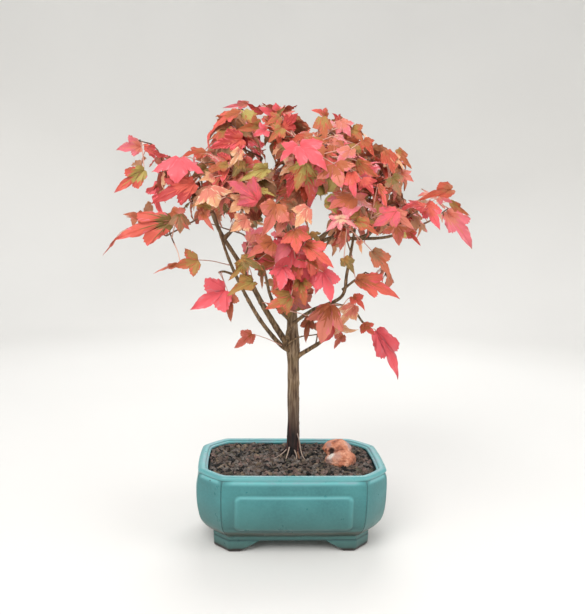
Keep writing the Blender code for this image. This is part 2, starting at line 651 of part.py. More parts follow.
class Mass:
    """A mass of leaves: where its stem starts, its spine and its space."""

    def __init__(self, row, limbs):
        self.name, self.limb, start, tips, self.leaves, self.width = row
        self.tips = [Vector(tip) for tip in tips]
        point, ahead, radius = limbs[self.limb].place(start)
        if start == 1.0:
            self.foot = point + ahead * GAP
            self.ahead = ahead
        else:
            out = self.tips[0] - point
            out = (out - ahead * out.dot(ahead)).normalized()
            self.foot = point + out * (radius + GAP)
            self.ahead = out
        self.radius = min(STEM_RADII[0], radius) if start == 1.0 else STEM_RADII[0]
        middle = sum(self.tips, Vector()) / len(self.tips)
        self.end = self.foot.lerp(middle, STEM_SHARE)
        self.walls = []

    def inside(self, points, margin=SPACE_MARGIN):
        for normal, level in self.walls:
            if max(normal.dot(point) for point in points) > level - margin:
                return False
        return all(low <= point[i] <= high for point in points for i, (low, high) in enumerate(CROWN_BOX))


def share_space(masses):
    """Flat walls that part each mass from each other, so that every space is convex."""
    for i, one in enumerate(masses):
        for other in masses[i + 1:]:
            best = None
            for skip in SPINE_SKIPS:
                p, q = nearest_on_segments(one.foot.lerp(one.end, skip), one.end,
                                           other.foot.lerp(other.end, skip), other.end)
                apart = q - p
                normal = apart.normalized()
                share = one.width / (one.width + other.width)
                level = normal.dot(p + apart * share)
                slack = min(level - max(normal.dot(one.foot), normal.dot(one.end)),
                            min(normal.dot(other.foot), normal.dot(other.end)) - level)
                if best is None or slack > best[0]:
                    best = (slack, normal, level)
                if slack > SPACE_SLACK:
                    break
            _, normal, level = best
            one.walls.append((normal, level))
            other.walls.append((-normal, -level))


def leaf_frame(base, ahead, facing_way):
    """Axes of a leaf at its stalk: across, along and out of the blade."""
    along = ahead.normalized()
    out = (facing_way - along * facing_way.dot(along)).normalized()
    across = along.cross(out)
    frame = Matrix((across, along, out)).transposed().to_4x4()
    return Matrix.Translation(base) @ frame


def leaf_points(frame, length):
    """The outline of a leaf, and the middle of its blade last."""
    right = [Vector(point) for point in LEAF_HALF]
    left = [Vector((-x, y, z)) for x, y, z in reversed(LEAF_HALF[1:-1])]
    middle = Vector((0.0, LEAF_MIDDLE, 0.0))
    return [frame @ (point * length) for point in right + left + [middle]]


def blade_samples(points):
    """Points spread over a blade, for measuring what it comes near."""
    rim, middle = points[:-1], points[-1]
    found = [middle]
    for i, point in enumerate(rim):
        after = rim[(i + 1) % len(rim)]
        for share in (0.33, 0.66, 1.0):
            found.append(middle.lerp(point, share))
            found.append(middle.lerp(point.lerp(after, 0.5), share))
    return np.array(found)


def line_samples(start, end, step=2.5):
    count = max(2, int((end - start).length / step) + 1)
    return np.array([start.lerp(end, k / (count - 1)) for k in range(count)])


def least_distance(samples, spots, thickness):
    """Least distance from sample points to round spots."""
    if len(spots) == 0:
        return 1e9
    apart = np.linalg.norm(samples[:, None, :] - spots[None, :, :], axis=2)
    return float((apart - thickness[None, :]).min())


def limb_spots(limbs):
    """Closely spaced points on every limb with the radius there, and the limb's name."""
    spots, thickness, names = [], [], []
    for name, limb in limbs.items():
        count = max(8, int(sum((b - a).length for a, b in zip(limb.line, limb.line[1:])) / 2.0))
        for k in range(count + 1):
            point, _, radius = limb.place(k / count)
            spots.append(point)
            thickness.append(radius)
            names.append(name)
    return np.array(spots), np.array(thickness), np.array(names)


def grow_mass(mass, spots):
    """Twigs and leaves of a mass, by a rule with a fixed seed.

    The stem runs from the foot into the space. Each leaf hangs on a stalk. A stalk that
    would be too long starts from a twig, which grows from the nearest wood towards it.
    """
    rng = random.Random(mass.name)
    places, thickness, names = spots
    away = names != mass.limb
    foreign = (places[away], thickness[away])
    close = np.linalg.norm(places - np.array(mass.foot), axis=1) < NEAR_LIMBS
    every = (places[close], thickness[close])
    span = (mass.end - mass.foot).length
    bend = mass.foot + mass.ahead * min(STEM_BEND, STEM_BEND_SHARE * span)
    stem = smooth_line([mass.foot, bend, mass.end], max(STEM_STEP, span / STEM_PARTS))
    if not mass.inside(stem[1:]):
        stem = [mass.foot, mass.end]
    wood = [(stem, mass.radius, STEM_RADII[1], mass.ahead)]
    nodes = list(stem[1:])
    leaves = []
    taken = np.zeros((0, 3))

    def try_leaf(tip, size):
        """Add a leaf whose tip is at the given place, where it fits."""
        nonlocal taken
        near = min(nodes, key=lambda node: (node - tip).length)
        out = (tip - near).normalized()
        centre = (tip - Vector(CROWN_MIDDLE)).normalized()
        droop = Vector((0.0, 0.0, -rng.uniform(*LEAF_DROOP)))
        side = Vector([rng.uniform(-LEAF_SWAY, LEAF_SWAY) for _ in range(3)])
        ahead = (out + droop + side).normalized()
        face = Vector((0.0, 0.0, LEAF_FACE_UP)) + centre + side
        turned = leaf_frame(Vector(), ahead, face)
        base = tip - turned @ (Vector(LEAF_HALF[-1]) * size)
        near = min(nodes, key=lambda node: (node - base).length)
        frame = Matrix.Translation(base) @ turned
        points = leaf_points(frame, size)
        samples = blade_samples(points)
        if not mass.inside(points) or least_distance(samples, *every) < LIMB_CLEARANCE:
            return False
        if len(taken) and least_distance(samples, taken, np.zeros(len(taken))) < LEAF_CLEARANCE:
            return False
        sunk = base.lerp(points[-1], STALK_SUNK / LEAF_MIDDLE)
        stalk = (sunk - near).length
        longest = STALK_LENGTH[1]
        twig = None
        if stalk > longest:
            elbow = near.lerp(base, (stalk - rng.uniform(*STALK_LENGTH)) / stalk)
            elbow += Vector((0.0, 0.0, ELBOW_RISE))
            if not mass.inside([elbow], 1.5):
                return False
            if least_distance(line_samples(near, elbow), *foreign) < TWIG_RADII[0] + 1.0:
                return False
            twig = [near, elbow]
            near = elbow
        if least_distance(line_samples(near, sunk)[1:], *foreign) < STALK_RADII[0] + 1.0:
            return False
        if twig:
            wood.append((twig, *TWIG_RADII, None))
            nodes.append(near)
            nodes.append(twig[0].lerp(near, 0.5))
        wood.append(([near, sunk], *STALK_RADII, None))
        leaves.append((frame, size))
        taken = np.vstack((taken, samples))
        return True

    for tip in mass.tips:
        for _ in range(LEAF_TRIES):
            if try_leaf(tip, rng.uniform(*LEAF_LENGTH)):
                break
    reach = max((tip - mass.foot).length for tip in mass.tips)
    wanted = len(leaves) + mass.leaves
    for _ in range(FILL_TRIES):
        if len(leaves) >= wanted:
            break
        way = Vector([rng.gauss(0.0, 1.0) for _ in range(3)]).normalized()
        along = mass.foot.lerp(mass.tips[0], rng.uniform(*FILL_ALONG))
        tip = along + way * mass.width * rng.uniform(*FILL_OUT)
        if (tip - mass.foot).length < reach + FILL_BEYOND:
            try_leaf(tip, rng.uniform(*LEAF_LENGTH))
    return wood, leaves


def make_leaf(frame, size):
    """A thin solid blade: its outline joined to a middle point above and one below."""
    points = leaf_points(frame, size)
    out = frame.to_3x3() @ Vector((0.0, 0.0, size * LEAF_THICKNESS / 2))
    bm = bmesh.new()
    rim = [bm.verts.new(point) for point in points[:-1]]
    top = bm.verts.new(points[-1] + out)
    bottom = bm.verts.new(points[-1] - out)
    for i, vert in enumerate(rim):
        after = rim[(i + 1) % len(rim)]
        bm.faces.new((vert, after, top))
        bm.faces.new((after, vert, bottom))
    bmesh.ops.recalc_face_normals(bm, faces=bm.faces)
    return make_object("leaf", bm)


def make_mass(mass, spots, finish):
    """The joined solid of a mass, with a leaf fewer each time that joining fails."""
    wood, leaves = grow_mass(mass, spots)
    body = join_mass(mass, wood, leaves, finish)
    while not body["whole"] and len(leaves) > 1:
        bpy.data.objects.remove(body)
        leaves = leaves[:-1]
        body = join_mass(mass, wood, leaves, finish)
    return body


def join_mass(mass, wood, leaves, finish):
    pieces = []
    for line, thick, thin, ahead in wood:
        radii = [thick + (thin - thick) * mark for mark in fractions(line)]
        bm = bmesh.new()
        loft(bm, tube_rings(line, radii, TWIG_SIDES, first_ahead=ahead))
        pieces.append(make_object("twig", bm))
    pieces += [make_leaf(frame, size) for frame, size in leaves]
    body = pieces.pop(0)
    body.name = mass.name
    body.data.materials.append(finish)
    combine(body, pieces)
    return body


def main():
    for old in list(bpy.data.objects):
        bpy.data.objects.remove(old)
    glaze = material("pot_glaze", (0.10, 0.33, 0.31), 0.28)
    earth = material("soil_grit", (0.075, 0.062, 0.058), 0.95)
    stone = material("rock_stone", (0.50, 0.20, 0.10), 0.8)
    bark = material("bark", (0.23, 0.16, 0.10), 0.85)
    tints = [material("leaf_pink", (0.75, 0.11, 0.12), 0.55), material("leaf_coral", (0.78, 0.20, 0.12), 0.55),
             material("leaf_orange", (0.66, 0.27, 0.10), 0.55), material("leaf_olive", (0.38, 0.26, 0.08), 0.55)]
    make_pot(glaze)
    make_soil(earth)
    make_rock(stone)
    limbs = grow_limbs()
    make_trunk(limbs["trunk"], bark)
    for name, *_ in BOUGHS:
        make_bough(name, limbs, bark)
    masses = [Mass(row, limbs) for row in MASSES]
    share_space(masses)
    spots = limb_spots(limbs)
    for number, mass in enumerate(masses):
        make_mass(mass, spots, tints[number % len(tints)])
    model = bpy.data.collections.new("trident_maple_bonsai")
    bpy.context.scene.collection.children.link(model)
    for made in list(bpy.context.scene.collection.objects):
        bpy.context.scene.collection.objects.unlink(made)
        model.objects.link(made)


main()
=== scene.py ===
import math
import random

import bmesh
import bpy
import numpy as np
from mathutils import Matrix, Vector, noise
from mathutils.bvhtree import BVHTree


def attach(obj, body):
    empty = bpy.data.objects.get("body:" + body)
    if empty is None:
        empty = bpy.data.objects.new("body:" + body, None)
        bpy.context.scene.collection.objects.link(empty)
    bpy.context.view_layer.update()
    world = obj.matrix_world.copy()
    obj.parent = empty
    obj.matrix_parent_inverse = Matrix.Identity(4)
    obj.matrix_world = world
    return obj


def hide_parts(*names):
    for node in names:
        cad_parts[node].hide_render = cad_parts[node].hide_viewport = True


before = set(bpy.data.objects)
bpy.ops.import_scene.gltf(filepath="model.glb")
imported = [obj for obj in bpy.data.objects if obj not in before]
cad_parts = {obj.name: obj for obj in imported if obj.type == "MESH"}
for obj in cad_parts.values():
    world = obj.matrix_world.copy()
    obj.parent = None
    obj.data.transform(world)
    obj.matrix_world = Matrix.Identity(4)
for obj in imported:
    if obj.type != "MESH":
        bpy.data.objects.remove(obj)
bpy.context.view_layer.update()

# Looks of the trident maple bonsai. Lengths are in millimetres up to the point where a mesh
# is made. The rule that places limbs, twigs and leaves is the one in the part's source, with
# the same seeds, and is carried on here to finer twigs and more leaves.
MM = 0.001

# Heights count from a level 84 mm under the rim, where the table is at TABLE. Meshes and the
# camera are raised so that the table is at zero.
TABLE = -6.0

# Camera: solved from the pot's rim in the photograph. Angles are in radians.
IMAGE_MIDDLE = (292.5, 307.0)
FOCAL_PIXELS = 700.0
SENSOR, IMAGE_LONG_SIDE = 36.0, 614.0
CAMERA_PLACE = Vector((-61.600, -770.993, 350.039))
YAW, PITCH, ROLL = 0.0766053, 0.1199155, 0.0234777

# Pot: the rim's top outline, a rectangle with cut corners, and the wall's offset from it at
# each height, which counts a little more at the short ends
GAP = 0.3
RIM_TOP = 84.0
RIM_HALF = (103.4, 67.6)
CORNER_CUT = (26.0, 27.0)
END_SHARE, CUT_SHARE = 1.2, 1.1
POT_MIDDLE = (0.4, 4.2, 0.0)
POT_TURN = -0.7
BAND_BOTTOM = 7.0
OUTER_WALL = (
    (BAND_BOTTOM, -15.0), (8.5, -14.3), (11.4, -14.1), (12.6, -13.6), (13.6, -12.4), (15.5, -10.4),
    (20.0, -6.4), (26.0, -2.9), (34.0, -0.9), (45.0, 0.2), (60.0, 0.6), (72.0, 0.3), (77.2, -0.5),
    (78.4, -1.0), (79.2, -1.0),
    (80.0, -0.4), (81.0, 0.0), (82.2, -0.1), (83.2, -0.8), (83.8, -1.8), (RIM_TOP, -3.0),
)
INNER_WALL = (
    (76.0, -8.4), (78.0, -8.6), (80.4, -9.0), (81.4, -8.9), (82.1, -8.2), (82.5, -7.3), (82.9, -6.9),
    (83.5, -6.3), (83.9, -5.4), (RIM_TOP, -4.4),
)
LOWER_INNER_WALL = ((18.0, -22.0), (19.5, -19.0), (27.0, -12.0), (36.0, -9.2), (60.0, -7.6), (76.0, -8.4))
WALL_LEVELS = 120
RIM_RADIUS, BODY_RADIUS = 9.0, 3.6
BULGES = (1.2, 1.0, 1.2, 1.0)
CHAMFER_BULGE = 0.8
PANEL_BOTTOM, PANEL_TOP = 24.5, 63.0
PANEL_PROUD = 1.2
PANEL_HALF_FRONT, PANEL_HALF_SIDE = 62.7, 29.0
PANEL_CORNER, PANEL_SOFT = 6.0, 3.4
CREASE_DEPTH = 1.1
FOOT_TAPER = ((TABLE, -15.6), (-3.5, -15.0), (2.0, -14.6), (8.5, -14.4))
FOOT_THICKNESS = 11.0
FOOT_CURVE = ((20.9, TABLE), (20.2, -5.6), (13.2, -1.2), (6.4, 2.9), (1.9, 6.0), (0.0, BAND_BOTTOM))
FOOT_TOP = 7.8
SPAN_FRONT, SPAN_SIDE = 36.0, 11.0

# Soil and rock
SOIL_EDGE, SOIL_TOP = 78.2, 79.0
CHIP_STEP = 3.3
CHIP_SIZE = (3.6, 6.8)
CHIP_SINK = (-1.5, 0.8)
CHIP_ROOM, CHIP_LOW = 10.6, 1.0
ROCK_LOBES = (((56.4, -8.0, 84.5), (17.6, 15.5, 11.2)), ((53.5, 4.0, 93.0), (16.3, 12.0, 10.8)))

# Trunk: its line, its radius in the part's solid and its radius as it shows here
TRUNK_LINE = (
    (4.0, 24.0, SOIL_TOP + GAP), (3.8, 22.4, 96.0), (3.0, 22.0, 145.0), (1.0, 22.0, 204.0),
    (-1.5, 22.0, 255.0), (-4.4, 22.0, 308.0), (-6.4, 20.0, 372.0),
)
TRUNK_RADII = (
    (0.0, 12.5), (0.012, 10.6), (0.03, 9.2), (0.06, 8.3), (0.15, 7.7), (0.3, 7.3), (0.38, 7.4),
    (0.43, 8.3), (0.48, 7.6), (0.54, 6.2), (0.65, 5.2), (0.8, 4.2), (1.0, 3.0),
)
SKIN_RADII = (
    (0.0, 9.8), (0.012, 8.9), (0.03, 8.0), (0.06, 7.3), (0.15, 6.9), (0.3, 6.7), (0.38, 6.9),
    (0.43, 7.9), (0.48, 7.2), (0.54, 5.9), (0.65, 5.0), (0.8, 4.1), (1.0, 3.0),
)
ROOTS = ((-112, 21), (-78, 24), (-52, 22), (-150, 20), (30, 18), (110, 19), (175, 18))
ROOT_RADIUS = 1.3
# How far out and how high, in lifted root radii, a surface root is at its inner points, and
# how high it ends
ROOT_LIFT = 1.1
ROOT_POINTS = ((5.0, 8.0), (9.5, 4.0), (13.5, 1.6))
ROOT_END = 0.9
FLARE_HEIGHT = 16.0
# The painted shade between the roots at the front: where it is, its soft edge in metres, its
# colour and how much of it shows
ROOT_HOLLOW = (1.2, 11.0, 86.0)
HOLLOW_EDGE = (0.0070, 0.0050)
ROOT_SHADE_COLOUR = (12, 9, 9)
ROOT_SHADE_SHARE = 0.95
ROCK_FOLD_SHIFT = (2.0, 0.0, 5.0)

# Sides of the tubes that limbs, roots, twigs and stalks are made of
TRUNK_SIDES, BOUGH_SIDES, SHOWN_TWIG_SIDES = 36, 14, 9
BURIED_ROOT_SIDES, SHOWN_ROOT_SIDES, TWIG_SIDES, STALK_SIDES = 9, 7, 7, 6

# Skins of roots, twigs and stalks: name, dark and light tint, and roughness
ROOT_SKINS = (
    ("root_skin", (126, 106, 95), (186, 164, 147), 0.7),
    ("root_tan", (92, 66, 49), (140, 102, 75), 0.75),
)
TWIG_SKIN = ("twig_skin", (84, 56, 40), (128, 92, 66), 0.7)
STALK_SKIN = ("stalk_skin", (194, 130, 114), (224, 182, 162), 0.55)

# The floor's level reach and the radius of its rise, the light from all round, and where the
# lamps aim, in metres
FLOOR_REACH, FLOOR_CURVE = 1500.0, 700.0
WORLD_COLOUR = (0.93, 0.96, 1.0, 1.0)
WORLD_STRENGTH = 0.55
LAMP_AIM = (0.0, 0.0, 0.24)


def height_on_trunk(z):
    """Fraction of the trunk's length at height z."""
    return (z - TRUNK_LINE[0][2]) / (TRUNK_LINE[-1][2] - TRUNK_LINE[0][2])


# Boughs: name, limb that carries it, how far along that limb it starts, the places it
# passes through and ends at, and its radius at the foot and at the tip.
BOUGHS = (
    ("bough_left_high", "trunk", height_on_trunk(206),
     ((-9, 19, 216), (-31, 17, 250), (-60, 13, 301), (-85, 7, 341), (-102, 2, 384)), 4.1, 1.6),
    ("bough_left_low", "trunk", height_on_trunk(203),
     ((-13, 13, 211), (-36, 8, 238), (-56, 0, 272), (-73, -9, 308), (-86, -18, 346)), 2.9, 1.4),
    ("bough_left_droop", "bough_left_low", 0.66, ((-78, -14, 296), (-84, -17, 295)), 1.5, 1.2),
    ("bough_top_left", "bough_left_high", 0.72,
     ((-66, 12, 347), (-51, 13, 386), (-39, 12, 420)), 2.0, 1.4),
    ("leader", "trunk", 1.0, ((-9, 17, 391), (-13, 13, 413), (-15, 12, 424)), 2.8, 1.5),
    ("leader_right", "trunk", height_on_trunk(343),
     ((5, 15, 378), (15, 11, 402), (27, 8, 426)), 2.2, 1.4),
    ("bough_right_high", "trunk", height_on_trunk(285),
     ((17, 30, 310), (41, 30, 345), (68, 24, 380)), 2.8, 1.5),
    ("bough_right_long", "trunk", height_on_trunk(293),
     ((11, 11, 316), (38, 5, 334), (67, 4, 334), (104, 6, 337), (143, 8, 352)), 2.6, 1.4),
    ("bough_right_front", "bough_right_long", 0.55, ((80, -14, 342), (84, -30, 350)), 1.5, 1.2),
    ("bough_right_back", "bough_right_long", 0.6, ((90, 24, 344), (97, 44, 352)), 1.5, 1.2),
    ("bough_cross", "bough_left_high", 0.05,
     ((-4, 6, 233), (19, 0, 253), (50, -11, 270), (55, -17, 298), (61, -22, 344)), 2.5, 1.4),
    ("bough_right_mid", "bough_cross", 0.6, ((60, -20, 287), (68, -24, 294)), 1.4, 1.2),
    ("bough_right_low", "bough_cross", 0.46, ((60, -20, 259), (72, -26, 245), (81, -30, 236)), 1.5, 1.1),
    ("bough_right_stub", "trunk", height_on_trunk(194),
     ((19, 14, 207), (29, 7, 215), (35, 0, 222)), 3.0, 2.0),
    ("bough_front_left", "trunk", height_on_trunk(236), ((-24, 2, 262), (-36, -40, 300)), 2.2, 1.4),
    ("bough_front", "trunk", height_on_trunk(264), ((-3, -12, 283), (-4, -45, 303)), 2.3, 1.4),
    ("bough_front_right", "trunk", height_on_trunk(300), ((10, -12, 322), (26, -45, 340)), 2.2, 1.4),
    ("bough_front_high", "trunk", height_on_trunk(330), ((-6, -6, 350), (-2, -35, 372)), 2.0, 1.4),
    ("bough_front_left_high", "trunk", height_on_trunk(318), ((-20, -6, 342), (-42, -38, 364)), 2.0, 1.4),
    ("bough_back_left", "trunk", height_on_trunk(252), ((-22, 52, 290), (-50, 85, 325)), 2.6, 1.4),
    ("bough_back_right", "trunk", height_on_trunk(256), ((22, 55, 295), (48, 88, 330)), 2.6, 1.4),
    ("bough_back", "trunk", height_on_trunk(306), ((-3, 50, 338), (0, 85, 365)), 2.2, 1.4),
    ("bough_back_left_high", "trunk", height_on_trunk(324), ((-26, 38, 364), (-50, 62, 400)), 2.1, 1.4),
    ("bough_back_right_high", "trunk", height_on_trunk(334), ((16, 40, 372), (45, 62, 404)), 2.0, 1.4),
    ("bough_far_left_back", "bough_left_high", 0.8, ((-90, 26, 356), (-96, 44, 366)), 1.5, 1.2),
)

# Leaf masses: name, limb and how far along it the stem starts (1 is its tip), the tips
# that the outermost leaves reach, the number of further leaves and the width of the mass.
MASSES = (
    ("leaves_left_high", "bough_left_high", 1.0, ((-195, -10, 413), (-200, 5, 378), (-148, -25, 364)), 7, 34),
    ("leaves_left_low", "bough_left_low", 1.0, ((-201, -50, 315), (-166, -72, 342), (-138, -50, 320)), 5, 32),
    ("leaves_left_droop", "bough_left_droop", 1.0,
     ((-156, 5, 292), (-113, -48, 255), (-68, -42, 245)), 2, 30),
    ("leaf_left_stalk", "trunk", height_on_trunk(193), ((-67, 0, 206),), 0, 20),
    ("leaves_top_left", "bough_top_left", 1.0, ((-96, -12, 424), (-91, 0, 459)), 6, 32),
    ("leaves_top", "leader", 1.0, ((-38, 10, 480), (-24, -14, 464), (4, -10, 458)), 5, 42),
    ("leaves_top_right", "leader_right", 1.0, ((14, 5, 473), (50, 0, 464), (57, -5, 453)), 5, 32),
    ("leaves_right_high", "bough_right_high", 1.0, ((129, 22, 429), (129, 12, 398), (93, 20, 444)), 6, 34),
    ("leaves_right_far", "bough_right_long", 1.0, ((203, 20, 328), (173, 12, 391), (136, 10, 383)), 4, 30),
    ("leaves_right_front", "bough_right_front", 1.0, ((132, -40, 331), (104, -62, 350)), 5, 32),
    ("leaves_right_back", "bough_right_back", 1.0, ((150, 80, 365),), 7, 34),
    ("leaves_cross_tip", "bough_cross", 1.0, ((74, -55, 372),), 5, 30),
    ("leaves_right_mid", "bough_right_mid", 1.0, ((108, -42, 274), (99, -38, 292)), 2, 24),
    ("leaves_right_low", "bough_right_low", 1.0, ((110, -45, 184),), 2, 20),
    ("leaves_right_stub", "bough_right_stub", 1.0, ((24, -48, 225), (52, -44, 246)), 2, 32),
    ("leaves_front_low", "trunk", height_on_trunk(254), ((-28, -62, 256), (8, -62, 260)), 3, 32),
    ("leaves_front_left", "bough_front_left", 1.0, ((-69, -125, 328),), 6, 34),
    ("leaves_front", "bough_front", 1.0, ((-11, -158, 316),), 6, 34),
    ("leaves_front_right", "bough_front_right", 1.0, ((48, -140, 352),), 6, 36),
    ("leaves_front_high", "bough_front_high", 1.0, ((5, -110, 400),), 7, 36),
    ("leaves_front_left_high", "bough_front_left_high", 1.0, ((-79, -105, 386),), 7, 36),
    ("leaves_back_left", "bough_back_left", 1.0, ((-105, 130, 352),), 7, 38),
    ("leaves_back_right", "bough_back_right", 1.0, ((105, 135, 347),), 7, 38),
    ("leaves_back", "bough_back", 1.0, ((5, 158, 370),), 7, 38),
    ("leaves_back_left_high", "bough_back_left_high", 1.0, ((-100, 90, 428),), 7, 38),
    ("leaves_back_right_high", "bough_back_right_high", 1.0, ((92, 90, 432),), 7, 38),
    ("leaves_back_top", "trunk", 0.96, ((0, 75, 462),), 6, 32),
    ("leaves_back_low", "trunk", height_on_trunk(238), ((10, 112, 292),), 5, 32),
    ("leaves_far_left_back", "bough_far_left_back", 1.0, ((-150, 80, 382),), 6, 34),
)
FOLIAGE = {
    "foliage_left": ("leaves_left", "leaf_left"),
    "foliage_top": ("leaves_top",),
    "foliage_right": ("leaves_right", "leaves_cross"),
    "foliage_front": ("leaves_front",),
    "foliage_back": ("leaves_back", "leaves_far"),
}

# The rule's own sizes
LEAF_LENGTH = (36.0, 52.0)
LEAF_HALF = ((0.0, 0.0, 0.0), (0.50, 0.40, -0.10), (0.19, 0.54, -0.01), (0.0, 1.0, -0.14))
LEAF_MIDDLE = 0.36
STALK_LENGTH = (16.0, 34.0)
STALK_RADII = (0.55, 0.4)
STALK_SUNK = 0.3
TWIG_RADII = (0.9, 0.8)
STEM_RADII = (1.4, 1.0)
TRUNK_STEP, BOUGH_STEP = 18.0, 22.0
FOOT_MARKS = (0.0, 0.2, 0.5)
SPINE_SHARE = 0.62
CROWN_HEART = (-2.0, 20.0, 330.0)
TIP_TRIES, FILL_TRIES = 60, 400
SPACE_MARGIN = 0.35
LIMB_CLEARANCE = 2.2
LEAF_CLEARANCE = 3.0
CROWN_BOX = ((-203.5, 203.5), (-158.5, 158.5), (165.0, 480.5))

# What is added to the rule here: more leaves a mass, smaller and closer together
MORE_LEAVES = 4.0
MORE_LENGTH = (20.0, 37.0)
MORE_CLEARANCE = 1.2
MORE_TRIES = 700
FINE_TRUNK_STEP, FINE_BOUGH_STEP = 1.5, 2.2

# How leaves differ: the fold along the middle in degrees, how far the sides hang, how far the
# heart's tint reaches, how much of the margin has its own, and how far a named leaf leans
LEAF_FOLD = (10.0, 44.0)
LEAF_HANG = (0.10, 0.48)
HEART_REACH = (0.16, 0.50)
MARGIN_SHARE = (0.0, 0.55)
PORTRAIT_LEAN = 5.0

# The crown's reach from its middle in the photograph, in pixels, by direction from the
# right and then upwards in even steps, and the gaps that can be seen through it.
CROWN_MIDDLE = (290.0, 235.0)
CROWN_REACH = (
    179, 177, 170, 150, 134, 140, 142, 127, 124, 121, 125, 127, 123, 130, 117, 123, 127, 133, 140, 145,
    135, 131, 120, 125, 136, 184, 189, 179, 142, 164, 175, 40, 115, 114, 60, 91, 124, 103, 100, 104,
    68, 115, 80, 88, 100, 108, 110, 116, 110, 121, 112, 152, 153, 99, 98, 114, 109, 102, 91, 72,
)
SKY = (
    (144, 188, 9), (222, 254, 9), (429, 232, 8), (349, 250, 8), (236, 250, 8), (208, 257, 8), (412, 191, 8),
    (221, 233, 8), (155, 178, 7), (362, 260, 7), (179, 202, 7), (281, 319, 7), (310, 225, 7), (208, 234, 6),
    (364, 314, 6), (366, 340, 6), (223, 278, 6), (257, 311, 6), (305, 312, 6), (196, 235, 6), (444, 233, 6),
    (239, 234, 5), (356, 292, 5), (245, 273, 5), (333, 274, 5), (265, 293, 5), (338, 257, 5), (356, 333, 5),
    (420, 220, 5), (134, 160, 5), (253, 320, 5), (311, 119, 4), (320, 227, 4), (313, 130, 4), (273, 312, 4),
    (243, 159, 4), (403, 200, 4), (350, 232, 4),
)

# Colours of leaves as seen in daylight, 0 to 255
TINTS = {
    "hot": (226, 90, 98), "magenta": (202, 86, 98), "pink": (215, 109, 117), "pale_pink": (219, 139, 139),
    "red": (180, 58, 55), "coral": (209, 91, 74), "red_orange": (181, 74, 48), "orange": (178, 96, 58),
    "salmon": (208, 120, 99), "peach": (215, 156, 115), "pale_peach": (221, 181, 149),
    "yellow": (178, 158, 86), "ochre": (167, 124, 65), "olive": (128, 103, 53), "tan": (149, 106, 73),
    "rose": (194, 98, 82), "dusty": (180, 98, 70), "rust": (141, 74, 48), "wine": (172, 80, 70),
    "plum": (166, 90, 84), "moss": (140, 118, 64), "umber": (152, 96, 68),
}
# Each kind of leaf: its blade, the heart of the blade, its margin and its underside
KINDS = {
    "hot": ("hot", "hot", "pink", "salmon"), "hot_warm": ("hot", "coral", "pink", "peach"),
    "magenta": ("magenta", "hot", "rose", "salmon"), "pink": ("pink", "salmon", "pale_pink", "peach"),
    "pale": ("pale_pink", "pale_peach", "pink", "pale_peach"), "red": ("red", "coral", "hot", "salmon"),
    "coral": ("coral", "orange", "hot", "salmon"), "ember": ("red_orange", "orange", "coral", "peach"),
    "orange": ("orange", "ochre", "coral", "peach"), "sunset": ("coral", "yellow", "pink", "peach"),
    "salmon": ("salmon", "orange", "pink", "pale_peach"), "peach": ("peach", "salmon", "pale_peach", "peach"),
    "yellow": ("yellow", "yellow", "ochre", "ochre"), "ochre": ("ochre", "yellow", "orange", "tan"),
    "olive": ("olive", "ochre", "orange", "tan"), "olive_coral": ("coral", "olive", "pink", "salmon"),
    "tan": ("tan", "olive", "dusty", "tan"), "rose": ("rose", "orange", "salmon", "dusty"),
    "dusty": ("dusty", "tan", "orange", "tan"), "rust": ("rust", "olive", "dusty", "tan"),
    "wine": ("wine", "rust", "dusty", "rust"), "plum": ("plum", "dusty", "rose", "tan"),
    "moss": ("moss", "olive", "rust", "olive"), "umber": ("umber", "rust", "dusty", "rust"),
}
# Kinds for outer leaves and for leaves nearer the crown's heart; the darker inner tints (umber, plum, wine,
# moss) are in part painted shade inside the crown, the rest are the inner leaves' own colours.
OUTER_KINDS = ("coral", "hot", "salmon", "ember", "rose", "orange", "hot_warm", "red", "pink",
               "sunset", "dusty", "peach")
INNER_KINDS = ("orange", "dusty", "tan", "rose", "ochre", "olive", "peach", "salmon", "umber",
               "plum", "wine", "moss")

